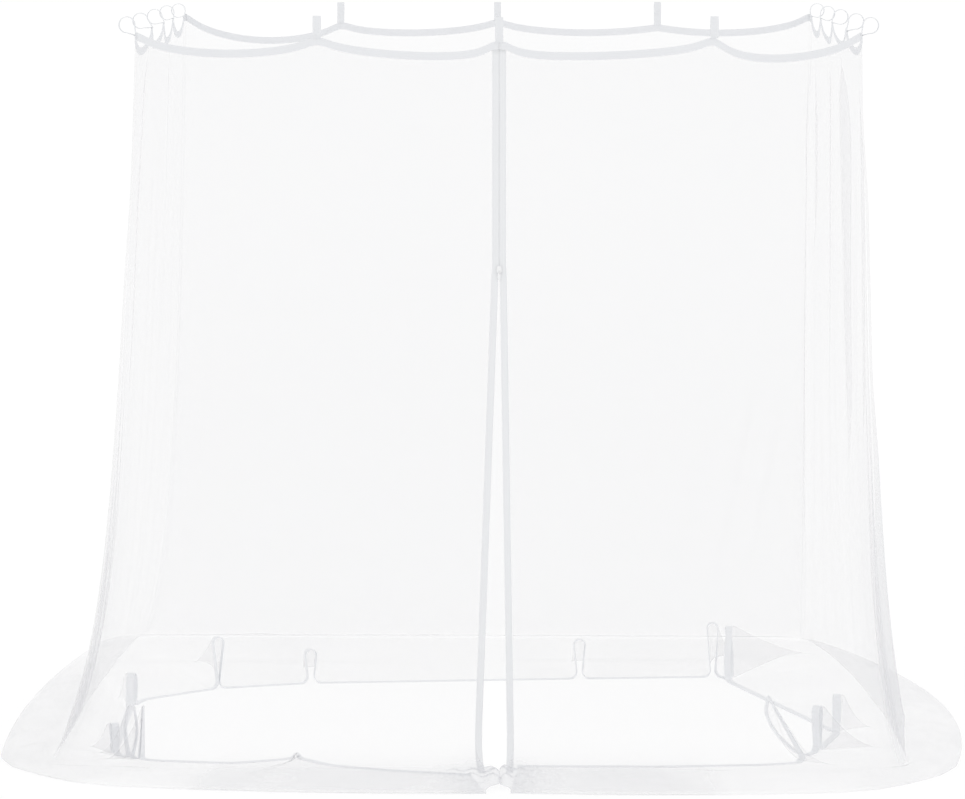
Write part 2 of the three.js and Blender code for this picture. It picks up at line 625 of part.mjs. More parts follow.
// The slider: two wings over the coils, joined by a post where the coils part, with a bridge in front.
// The pull tab hangs by its eye from the bridge
function addSlider(group) {
  const door = wallPoint(0, dropShare(SLIDER.height)).setX(0);
  const halfTall = SLIDER.tall / 2;
  const clear = COIL_THICK / 2 + 2 * GAP;
  const wing = [
    [-SLIDER.wideFoot / 2, -halfTall], [SLIDER.wideFoot / 2, -halfTall], [SLIDER.wideFoot / 2, 0],
    [SLIDER.wideTop / 2, halfTall], [-SLIDER.wideTop / 2, halfTall], [-SLIDER.wideFoot / 2, 0],
  ];
  const post = [
    [-SLIDER_POST.halfFoot, -halfTall], [SLIDER_POST.halfFoot, -halfTall],
    [SLIDER_POST.halfTop, SLIDER_POST.tall - halfTall], [-SLIDER_POST.halfTop, SLIDER_POST.tall - halfTall],
  ];
  const front = -clear - SLIDER.plate;
  const tabRoom = PULLER.thick + 2 * GAP;
  const halfBridge = BRIDGE.wide / 2;
  const bridgeTop = BRIDGE.tall - halfTall + 3;
  const bridgeFoot = bridgeTop - BRIDGE.tall;
  const legDepth = tabRoom + BRIDGE.bar;
  const sunk = SLIDER.plate / 2;
  const bridge = (z0, z1, depth) => plate(box(-halfBridge, halfBridge, z0, z1), front - legDepth, depth);
  const slider = join([
    plate(wing, front, SLIDER.plate),
    plate(wing, clear, SLIDER.plate),
    plate(post, front + sunk, 2 * clear + SLIDER.plate),
    bridge(bridgeTop - BRIDGE.bar, bridgeTop, legDepth + sunk),
    bridge(bridgeFoot, bridgeFoot + BRIDGE.bar, legDepth + sunk),
    bridge(bridgeFoot, bridgeTop, BRIDGE.bar),
  ]);
  addPiece(group, 'zip_slider', slider, METAL_FINISH).position.copy(door);

  const halfTab = PULLER.wide / 2;
  const eyeTop = bridgeFoot + BRIDGE.bar + GAP;
  const tabTop = eyeTop + PULLER.bar;
  const halfEye = PULLER.eye / 2;
  const outline = [
    [-halfTab * 0.8, tabTop - PULLER.tall], [halfTab * 0.8, tabTop - PULLER.tall],
    [halfTab, tabTop - PULLER.tall * 0.6], [halfTab * 0.7, tabTop], [-halfTab * 0.7, tabTop],
    [-halfTab, tabTop - PULLER.tall * 0.6],
  ];
  const eye = box(-halfEye, halfEye, eyeTop - PULLER.eye, eyeTop);
  const tab = plate(outline, front - GAP - PULLER.thick, PULLER.thick, eye);
  addPiece(group, 'zip_puller', tab, METAL_FINISH).position.copy(door);
}

// The whole net, its origin on the floor at the middle of its box
const net = new THREE.Group();
WALLS.forEach((wall) => addWall(net, wall));
['left', 'right'].forEach((side) => addZipHalf(net, side));
addLoops(net);
addSlider(net);
const extent = new THREE.Box3().setFromObject(net, true);
const middle = extent.getCenter(new THREE.Vector3());
net.position.set(-middle.x, -middle.y, -extent.min.z);

export default net;
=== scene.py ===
"""Looks of a gazebo mosquito net: a square, open-topped room of sheer net with a zipped door.

Everything is in metres. Places round the net are distances p along its top edge, counter-clockwise from
the middle of the door. Down the cloth come the wall, with the share t of its drop, the bend at its foot,
the lay on the floor, the outer fold, and the return below to the hem, whose spare length stands in rucks.
"""
import logging
import math
from dataclasses import dataclass, field
from enum import Enum

import bpy
import numpy as np
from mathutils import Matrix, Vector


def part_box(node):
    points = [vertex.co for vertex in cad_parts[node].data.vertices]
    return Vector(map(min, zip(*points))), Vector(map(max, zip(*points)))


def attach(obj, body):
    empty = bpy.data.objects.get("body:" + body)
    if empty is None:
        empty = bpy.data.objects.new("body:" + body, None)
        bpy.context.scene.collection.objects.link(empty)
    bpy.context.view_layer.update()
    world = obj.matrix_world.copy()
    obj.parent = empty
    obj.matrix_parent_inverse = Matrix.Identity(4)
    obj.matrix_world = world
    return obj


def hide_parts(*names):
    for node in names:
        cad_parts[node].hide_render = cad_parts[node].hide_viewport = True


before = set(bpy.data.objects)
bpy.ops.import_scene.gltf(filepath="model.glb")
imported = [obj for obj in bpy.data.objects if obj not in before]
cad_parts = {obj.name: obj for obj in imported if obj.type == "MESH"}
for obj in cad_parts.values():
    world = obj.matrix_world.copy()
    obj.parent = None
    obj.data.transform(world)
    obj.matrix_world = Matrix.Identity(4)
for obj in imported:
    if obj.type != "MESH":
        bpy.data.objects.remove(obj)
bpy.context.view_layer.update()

log = logging.getLogger("mosquito_net")
Array = np.ndarray
Socket = bpy.types.NodeSocket
Colour = tuple[float, float, float, float]
Wave = tuple[float, float, float]
WHITE: Colour = (1.0, 1.0, 1.0, 1.0)

# Driving sizes of the cloth
SIDE = 1.0
HANG = 2.0
AROUND = 8 * SIDE
TAPE_WIDE = 0.022
TAPE_THICK = 0.0024
ZIP_WIDE = 0.018
GAP = 0.0003
EDGE = ZIP_WIDE + 1.5 * GAP
FOLD_RADIUS = 0.005
FLOOR_MID = 0.0012
LAY_MID = FLOOR_MID + 2 * FOLD_RADIUS
WALL_END = 0.945
LAY_START = 0.35
STEADY = 0.030
UNDER_TAPE = 0.006


class Finish(Enum):
    """Names of the finishes: net, tape, zip and metal."""

    NET = "net"
    TAPE = "tape"
    ZIP = "zip"
    METAL = "metal"


class Side(Enum):
    """The four sides of the net, with the way each one faces."""

    FRONT = (0.0, -1.0)
    RIGHT = (1.0, 0.0)
    BACK = (0.0, 1.0)
    LEFT = (-1.0, 0.0)


# Tables of the hung cloth


@dataclass(frozen=True)
class Post:
    """A corner or door edge: its place round the top, and its level places at top, foot and outer fold."""

    at: float
    top: tuple[float, float]
    foot: tuple[float, float]
    fold: tuple[float, float]
    ease: float
    door: bool = False


POSTS = (
    Post(EDGE, (EDGE, -SIDE), (0.042, -1.010), (0.031, -1.425), 0.060, door=True),
    Post(SIDE, (0.987, -SIDE), (1.124, -1.006), (1.190, -1.375), 0.280),
    Post(3 * SIDE, (0.990, SIDE), (0.980, 0.990), (0.985, 1.025), 0.090),
    Post(5 * SIDE, (-0.999, SIDE), (-1.138, 1.010), (-1.250, 1.060), 0.120),
    Post(7 * SIDE, (-0.990, -SIDE), (-1.226, -1.020), (-1.365, -1.265), 0.300),
    Post(AROUND - EDGE, (-EDGE, -SIDE), (-0.068, -1.010), (-0.033, -1.432), 0.060, door=True),
)


@dataclass(frozen=True)
class HemRow:
    """A place of the hem on the floor, and the ruck that stands there if ruck is over zero.

    The ruck has its height, the width of its neck, its lean inwards at the top, the splay of its two legs to
    either side, the twist of its tape, how far, how steeply and how densely the net behind it falls away, the
    radii of its feet and its head, and the bulge of its legs away from each other.
    """

    x: float
    y: float
    ruck: float = 0.0
    neck: float = 0.0
    lean: float = 0.0
    splay: float = 0.0
    twist_deg: float = 0.0
    reach: float = 0.0
    slope: float = 2.0
    dense: float = 0.3
    foot: float = 0.022
    head: float = 0.017
    bulge: float = 0.0


@dataclass(frozen=True)
class WallPlan:
    """One net: the way it faces, the bulge of its foot and fold, its hem, its cut size and its density."""

    name: str
    side: Side
    foot_bulge: float
    fold_bulge: float
    hem: tuple[HemRow, ...]
    flat: tuple[float, float]
    area: float
    dense: float = 1.0


WALLS = (
    WallPlan("front_right", Side.FRONT, 0.0, 0.050, (
        HemRow(0.052, -1.045),
        HemRow(0.450, -1.050),
        HemRow(0.740, -1.022),
        HemRow(0.822, -0.992),
    ), (1.10, 2.75), 2.60),
    WallPlan("right", Side.RIGHT, 0.015, 0.230, (
        HemRow(0.822, -0.992),
        HemRow(0.832, -0.925, ruck=0.168, neck=0.030, lean=0.090, splay=-0.028, twist_deg=-56, reach=0.090),
        HemRow(0.884, -0.832, ruck=0.124, neck=0.012, reach=0.180),
        HemRow(0.958, -0.575, ruck=0.108, neck=0.016, lean=-0.004, reach=0.130),
        HemRow(
            0.690, 0.262, ruck=0.166, neck=0.012, splay=0.008, twist_deg=10,
            reach=0.560, slope=1.4, dense=0.2,
        ),
        HemRow(0.686, 0.318),
    ), (2.45, 2.75), 5.10, 0.70),
    WallPlan("back", Side.BACK, 0.010, 0.005, (
        HemRow(0.686, 0.318),
        HemRow(0.656, 0.326, ruck=0.166, neck=0.012, twist_deg=7, reach=0.420, dense=0.1),
        HemRow(0.249, 0.296, ruck=0.118, neck=0.018, twist_deg=3, reach=0.330, dense=0.1),
        HemRow(-0.570, 0.218, ruck=0.100, neck=0.020, twist_deg=5, reach=0.300, dense=0.1),
        HemRow(-0.846, 0.128, ruck=0.153, neck=0.006, twist_deg=-8, reach=0.480, slope=1.6, dense=0.2),
        HemRow(-0.896, 0.085),
    ), (2.60, 2.85), 5.50, 1.20),
    WallPlan("left", Side.LEFT, 0.010, 0.085, (
        HemRow(-0.896, 0.085),
        HemRow(-1.050, -0.055),
        HemRow(-1.078, -0.170, ruck=0.100, neck=0.030, lean=0.002, splay=0.004, reach=0.150),
        HemRow(-1.066, -0.885, ruck=0.086, neck=0.014, lean=-0.004, reach=0.130, foot=0.014, head=0.012),
        HemRow(
            -1.022, -0.930, ruck=0.150, neck=0.006, twist_deg=26,
            reach=0.120, dense=0.7, foot=0.008, head=0.006, bulge=0.015,
        ),
        HemRow(-0.985, -0.945, ruck=0.150, neck=0.0026, twist_deg=44, reach=0.120, foot=0.006, head=0.002),
        HemRow(-0.958, -0.965),
    ), (2.30, 2.75), 4.95, 0.70),
    WallPlan("front_left", Side.FRONT, 0.0, 0.055, (
        HemRow(-0.958, -0.965),
        HemRow(-0.740, -1.005),
        HemRow(-0.610, -0.955),
        HemRow(-0.560, -0.920, ruck=0.013, reach=0.040, foot=0.026, head=0.018),
        HemRow(-0.460, -1.035),
        HemRow(-0.300, -1.105),
        HemRow(-0.078, -1.165),
    ), (1.20, 2.75), 2.65),
)


@dataclass(frozen=True)
class Swag:
    """A swag of the top edge: its end, its sag, the drop and peak of its end, and where it hangs lowest."""

    end: float
    sag: float
    drop: float = 0.0
    peak: float = 0.017
    low: float = 0.5


SWAGS = (
    Swag(0.592, 0.020, 0.011, 0.015), Swag(1.000, 0.043, low=0.43),
    Swag(1.500, 0.038), Swag(2.000, 0.036), Swag(2.500, 0.040), Swag(3.000, 0.037),
    Swag(3.490, 0.0295, 0.019, 0.0), Swag(4.000, 0.0245, 0.010, 0.008),
    Swag(4.500, 0.024, 0.021, 0.010), Swag(5.000, 0.053),
    Swag(5.500, 0.037), Swag(6.000, 0.040), Swag(6.500, 0.036), Swag(7.000, 0.038),
    Swag(7.500, 0.033, 0.006, 0.010), Swag(8.000, 0.022, 0.032, 0.0265),
)


@dataclass(frozen=True)
class Crease:
    """A soft upright fold of a wall: place, half width, push outwards, drift over the drop, and its span."""

    at: float
    wide: float
    depth: float
    drift: float
    start: float = 0.0
    end: float = 1.0


PLEATS = (
    Crease(1.250, 0.090, 0.010, -0.030),
    Crease(1.600, 0.110, -0.018, 0.000),
    Crease(1.900, 0.105, 0.028, -0.040),
    Crease(2.380, 0.110, 0.020, 0.020),
    Crease(3.450, 0.110, -0.022, 0.260),
    Crease(5.480, 0.120, 0.012, 0.040),
    Crease(6.420, 0.150, 0.024, 0.060),
)

DRAWN_IN = (
    Crease(1.500, 0.140, -0.006, 0.0),
    Crease(2.000, 0.140, -0.008, 0.0),
    Crease(2.500, 0.140, -0.006, 0.0),
    Crease(6.000, 0.140, -0.007, 0.0),
    Crease(6.500, 0.140, -0.010, 0.0),
)

CREASES = (
    Crease(1.255, 0.022, 0.014, 0.080, 0.03, 0.62),
    Crease(1.925, 0.026, 0.016, -0.330, 0.02, 0.66),
    Crease(2.860, 0.050, 0.014, 0.040, 0.02, 0.40),
    Crease(2.985, 0.035, -0.012, -0.050, 0.05, 0.90),
    Crease(2.945, 0.030, 0.016, 0.340, 0.50, 0.99),
    Crease(2.850, 0.032, 0.014, 0.340, 0.55, 0.99),
    Crease(3.130, 0.040, -0.010, 0.330, 0.45, 0.97),
    Crease(6.100, 0.060, 0.005, 0.050, 0.10, 0.80),
    Crease(6.620, 0.040, 0.004, 0.120, 0.05, 0.60),
    Crease(0.330, 0.090, 0.006, 0.060, 0.35, 0.98),
    Crease(7.720, 0.080, 0.006, -0.050, 0.40, 0.98),
    Crease(1.020, 0.060, 0.010, 0.000, 0.10, 1.10),
    Crease(1.020, 0.060, 0.008, 0.000, 0.45, 1.10),
    Crease(6.980, 0.060, 0.006, 0.000, 0.20, 1.10),
)


@dataclass(frozen=True)
class Smudge:
    """A place on the floor where the lying cloth is denser: its middle, half sizes and density."""

    x: float
    y: float
    wide: float
    deep: float
    dense: float


SMUDGES = (
    Smudge(-0.800, 0.600, 0.420, 0.050, 0.15),
    Smudge(0.450, 0.630, 0.300, 0.040, 0.3),
    Smudge(-1.255, 0.000, 0.060, 0.500, 0.2),
    Smudge(-1.170, -0.800, 0.130, 0.110, 0.15),
    Smudge(1.020, -0.740, 0.080, 0.130, 0.35),
    Smudge(0.830, 0.640, 0.080, 0.180, 0.3),
)


@dataclass(frozen=True)
class LoopRow:
    """A hanging loop: its place, the lean and reach of its ring from the binding, and the ring's girth."""

    at: float
    lean_deg: float
    reach: float
    girth: float = 1.0


LOOPS = {
    Side.FRONT: (
        LoopRow(7.5, 5, 0.035, 0.5), LoopRow(8.0, 8, 0.044, 0.5), LoopRow(0.592, 4, 0.0345, 0.5),
    ),
    Side.RIGHT: (
        LoopRow(1.022, 42, 0.034), LoopRow(1.475, 45, 0.036), LoopRow(2.0, 57, 0.029),
        LoopRow(2.5, 58, 0.025), LoopRow(2.978, 45, 0.024),
    ),
    Side.BACK: (
        LoopRow(3.49, 6, 0.048, 0.5), LoopRow(4.0, 3, 0.032, 0.5), LoopRow(4.5, 7, 0.041, 0.5),
    ),
    Side.LEFT: (
        LoopRow(5.022, 45, 0.023), LoopRow(5.5, 51, 0.024), LoopRow(6.0, 58, 0.031),
        LoopRow(6.5, 61, 0.037), LoopRow(6.978, 40, 0.035),
    ),
}


@dataclass(frozen=True)
class Density:
    """How densely the net is gathered, in layers of flat cloth.

    Seams and back corners add to the walls, and so do the lower part of the back wall and the front corners
    further down. Spans are shares of the drop. The cloth on the floor has its own density, with a barer
    stretch at the back left, a folded band to both sides of the door, a knot at the door, and a share of it
    in the lay behind the back wall and in the return below.
    """

    seam: float = 0.35
    seam_wide: float = 0.0035
    lower_span: tuple[float, float] = (0.20, 0.70)
    back_lower: float = 0.40
    back_corner: float = 0.50
    back_corner_lower: float = 0.26
    back_corner_wide: float = 0.030
    front_right: float = 2.0
    front_left: float = 1.0
    front_wide: tuple[float, float] = (0.035, 0.090)
    front_span: tuple[float, float] = (0.35, 0.85)
    lay: float = 0.92
    lay_uneven: float = 0.16
    bare: float = 0.36
    bare_at: float = 5.35
    bare_wide: float = 0.45
    band: float = 0.75
    band_right: tuple[float, float] = (0.47, 0.53)
    band_left: tuple[float, float] = (0.57, 0.64)
    knot: float = 1.5
    knot_wide: float = 0.075
    back_lay: float = 0.55
    under: float = 0.62


@dataclass(frozen=True)
class Peak:
    """A peak of the top edge under a loop: its reach, flat top and rounding, and the sag its swags lose."""

    reach: float = 0.035
    flat: float = 0.016
    rounding: float = 0.006
    sag_lost: float = 0.004


@dataclass(frozen=True)
class CornerGather:
    """Upright folds at a front corner: depth, pitch, reach, span of the drop, and turns over the drop."""

    depth: float = 0.014
    pitch: float = 0.062
    reach: float = 0.16
    span: tuple[float, float] = (0.30, 0.95)
    slant: float = 0.7


@dataclass(frozen=True)
class DoorKnot:
    """The knot of small folds at the foot of the door.

    It has its reach to each side, the shift of the right and the left cloth to the middle, its lift, the
    pitch of its folds and their turns along the lay, its strength at the foot of the wall, and how much
    further than the shift the folds reach.
    """

    reach: float = 0.055
    shift: tuple[float, float] = (0.034, 0.048)
    lift: float = 0.024
    pitch: float = 0.045
    turns: tuple[float, float] = (1.3, 2.1)
    start: float = 0.35
    spread: float = 1.6


# Waves that make the cloth uneven, each with its turns round the net, its turns down it, and its phase
WALL_WAVES = ((1.7, 0.6, 0.1), (2.9, -0.8, 0.45), (4.3, 0.5, 0.7))
PUFF_WAVES = ((1.1, 0.2, 0.3), (2.3, -0.3, 0.9))
FOLD_WAVES = ((2.1, 0.55, 0.2), (3.7, -0.7, 0.55), (6.1, 0.4, 0.05))
DENSE_WAVES = ((0.9, 0.0, 0.15), (1.7, 0.0, 0.6), (3.1, 0.0, 0.35))

# Shares of a length to each side over which a run is averaged to round its corners
TAPS = (-1, -0.5, 0, 0.5, 1)


def mix(a: Array | float, b: Array | float, k: Array | float) -> Array | float:
    """Value a share k of the way from a to b."""
    return a + (b - a) * k


def smooth(x: Array, low: float, high: float) -> Array:
    """Smooth step from 0 at low to 1 at high."""
    k = np.clip((x - low) / (high - low), 0, 1)
    return k * k * (3 - 2 * k)


def bell(off: Array, wide: Array | float) -> Array:
    """Bell curve of a distance: one in the middle, dying away over a half width."""
    return np.exp(-((off / wide) ** 2))


def squared(x: Array, power: float) -> Array:
    """Power of a value's size with the value's sign, which squares off an ellipse."""
    return np.sign(x) * np.abs(x) ** power


def unit(v: Array) -> Array:
    """Vectors along the last axis at length one."""
    return v / np.maximum(np.linalg.norm(v, axis=-1, keepdims=True), 1e-12)


def bend_curve(knee: Array, foot: Array, brow: Array, k: Array) -> Array:
    """Quadratic curve from a wall over its foot to the lay, which it meets a share of the way to the brow.

    Args:
        knee: Where the curve leaves the wall.
        foot: Where the wall would meet the floor.
        brow: Where the lay ends at the outer fold.
        k: Shares of the curve.

    Returns:
        Points of the curve.
    """
    return mix(mix(knee, foot, k), mix(foot, mix(foot, brow, LAY_START), k), k)


def ripple(x: Array, y: Array, waves: tuple[Wave, ...]) -> Array:
    """Sum of sines, each with its turns per metre along x and y and its phase, scaled to about one.

    Args:
        x: Places along the first way, in metres.
        y: Places along the second way, in metres.
        waves: Rows of turns along x, turns along y and phase in turns.

    Returns:
        The summed waves, from about minus one to one.
    """
    total = sum(np.sin(2 * np.pi * (fx * x + fy * y + phase)) for fx, fy, phase in waves)
    return total / math.sqrt(len(waves))


# The hung cloth as a surface


@dataclass
class Ruck:
    """Spare hem that stands up: a round foot, a stem, a round head and the same way down."""

    row: HemRow
    start: float = 0.0
    cloth_start: float = 0.0

    def __post_init__(self) -> None:
        """Works out the stretches of steady curvature, each with its length and its turn."""
        row = self.row
        stem = max(0.0, row.ruck - row.foot - row.head)
        if stem > 0:
            tilt = max(-0.3, min(0.3, (row.head - row.neck / 2) / stem))
            turn = math.acos(-tilt)
        else:
            turn = math.acos(1 - row.ruck / (row.foot + row.head))
        foot = (row.foot * turn, turn)
        head = (2 * row.head * turn, -2 * turn)
        rise = (stem, 0.0)
        self.stretches = (foot, rise, head, rise, foot) if stem > 0 else (foot, head, foot)
        self.length = sum(length for length, _ in self.stretches)
        self.advance = float(self.walk(np.array([self.length]))[0][0])

    def walk(self, distance: Array) -> tuple[Array, Array]:
        """Places after walking along the stretches: each is an arc, whose chord is the step times sin(x)/x.

        Args:
            distance: Lengths of cloth from the ruck's start.

        Returns:
            The advance along the floor and the height.
        """
        along, up, heading = (np.zeros_like(distance) for _ in range(3))
        left = distance.copy()
        for length, turn in self.stretches:
            step = np.clip(left, 0, length)
            bend = turn * step / length
            chord = step * np.sinc(bend / 2 / np.pi)
            along += chord * np.cos(heading + bend / 2)
            up += chord * np.sin(heading + bend / 2)
            heading += bend
            left -= step
        return along, up

    def columns(self, step: float) -> Array:
        """Cloth lengths from the ruck's start, about a step apart, with the ends of its stretches."""
        ends = np.cumsum([0.0] + [length for length, _ in self.stretches])
        return np.union1d(ends, np.linspace(0, self.length, int(self.length / step)))


@dataclass
class HemPlace:
    """The hem at places: level place, height, way outwards, and the reach, slope and density of a ruck."""

    place: Array
    up: Array
    outward: Array
    reach: Array
    slope: Array
    dense: Array

    def steady(self) -> Array:
        """Level places up to which the net behind the hem keeps square to it."""
        return self.place + self.outward * STEADY


@dataclass
class HemLine:
    """The lower edge of one net on the floor, with its rucks."""

    rows: tuple[HemRow, ...]
    ease: float = 0.028
    turn_in: float = 0.060
    probe: float = 0.001
    flat_reach: float = 0.001

    def __post_init__(self) -> None:
        """Lays the rows out by distance and gives each ruck its start on the floor and in the cloth."""
        self.corners = np.array([(row.x, row.y) for row in self.rows])
        steps = np.linalg.norm(np.diff(self.corners, axis=0), axis=1)
        self.distances = np.concatenate([[0.0], np.cumsum(steps)])
        self.floor_length = float(self.distances[-1])
        self.rucks: list[Ruck] = []
        spare = 0.0
        for row, distance in zip(self.rows, self.distances):
            if row.ruck == 0:
                continue
            ruck = Ruck(row)
            ruck.start = float(distance) - ruck.advance / 2
            ruck.cloth_start = ruck.start + spare
            spare += ruck.length - ruck.advance
            self.rucks.append(ruck)
        self.cloth_length = self.floor_length + spare

    def run(self, distance: Array) -> Array:
        """Straight runs between the rows, going straight on beyond the ends.

        Args:
            distance: Distances along the hem.

        Returns:
            Level places.
        """
        i = np.clip(np.searchsorted(self.distances, distance), 1, len(self.distances) - 1)
        k = (distance - self.distances[i - 1]) / (self.distances[i] - self.distances[i - 1])
        return mix(self.corners[i - 1], self.corners[i], k[:, None])

    def floor(self, distance: Array) -> Array:
        """The runs rounded at the rows, by averaging over a short length to each side."""
        span = np.clip(np.minimum(distance, self.floor_length - distance), 0, self.ease)
        return np.mean([self.run(distance + tap * span) for tap in TAPS], axis=0)

    def outward(self, distance: Array, place: Array, fold: Array) -> Array:
        """Level way outwards: square to the hem, but towards the fold near the ends.

        Args:
            distance: Distances along the hem.
            place: Level places of the hem there.
            fold: Level places of the outer fold at the same columns.

        Returns:
            Ways of length one.
        """
        tangent = self.floor(distance + self.probe) - self.floor(distance - self.probe)
        square = unit(np.stack([tangent[:, 1], -tangent[:, 0]], axis=1))
        near_end = 1 - np.minimum(distance, self.floor_length - distance) / self.turn_in
        return unit(mix(square, unit(fold - place), np.clip(near_end, 0, 1)[:, None]))

    def at(self, share: Array, fold: Array) -> HemPlace:
        """The hem at shares of the wall's length, with its rucks standing.

        Args:
            share: Places along the wall, from 0 to 1.
            fold: Level places of the outer fold at the same columns.

        Returns:
            The hem's places.
        """
        cloth = self.cloth_length * share
        distance = cloth.copy()
        along = np.zeros_like(cloth)
        up, lean, twist, dense = (np.zeros_like(cloth) for _ in range(4))
        reach, slope = np.full_like(cloth, self.flat_reach), np.full_like(cloth, HemRow.slope)
        for ruck in self.rucks:
            inside = cloth - ruck.cloth_start
            spare = ruck.length - ruck.advance
            distance -= np.where(inside > ruck.length, spare, 0)
            held = (inside >= 0) & (inside <= ruck.length)
            walked, height = ruck.walk(np.clip(inside, 0, ruck.length))
            even = ruck.advance * inside / ruck.length
            distance = np.where(held, ruck.start + even, distance)
            along = np.where(held, walked - even, along)
            up = np.where(held, height, up)
            row, rise = ruck.row, np.clip(height / ruck.row.ruck, 0, 1)
            leg = np.sin(2 * np.pi * inside / ruck.length)
            along = np.where(held, along - row.bulge * leg, along)
            lean = np.where(held, row.lean * rise * (2 - rise) + row.splay * leg, lean)
            twist = np.where(held, math.radians(row.twist_deg) * rise**0.5, twist)
            reach = np.where(held, row.reach, reach)
            slope = np.where(held, row.slope, slope)
            dense = np.where(held, row.dense, dense)
        place = self.floor(distance)
        outward = self.outward(distance, place, fold)
        tangent = np.stack([-outward[:, 1], outward[:, 0]], axis=1)
        place = place - outward * lean[:, None] + tangent * along[:, None]
        twisted = outward * np.cos(twist)[:, None] + tangent * np.sin(twist)[:, None]
        return HemPlace(place, up, twisted, reach, slope, dense)


@dataclass
class Rows:
    """How many rows the cloth has in its wall, bend, lay, fold and return."""

    wall: int = 80
    bend: int = 12
    lay: int = 18
    fold: int = 9
    back: int = 52


@dataclass
class Drape:
    """A net's grid of points, rows down the cloth by columns round it, with what its cloth has there."""

    points: Array
    fullness: Array
    normals: Array = field(init=False)

    def __post_init__(self) -> None:
        """Works out the way the cloth faces: outwards on a wall and upwards on a lay."""
        down = np.gradient(self.points, axis=0)
        round_net = np.gradient(self.points, axis=1)
        self.normals = unit(np.cross(down, round_net))


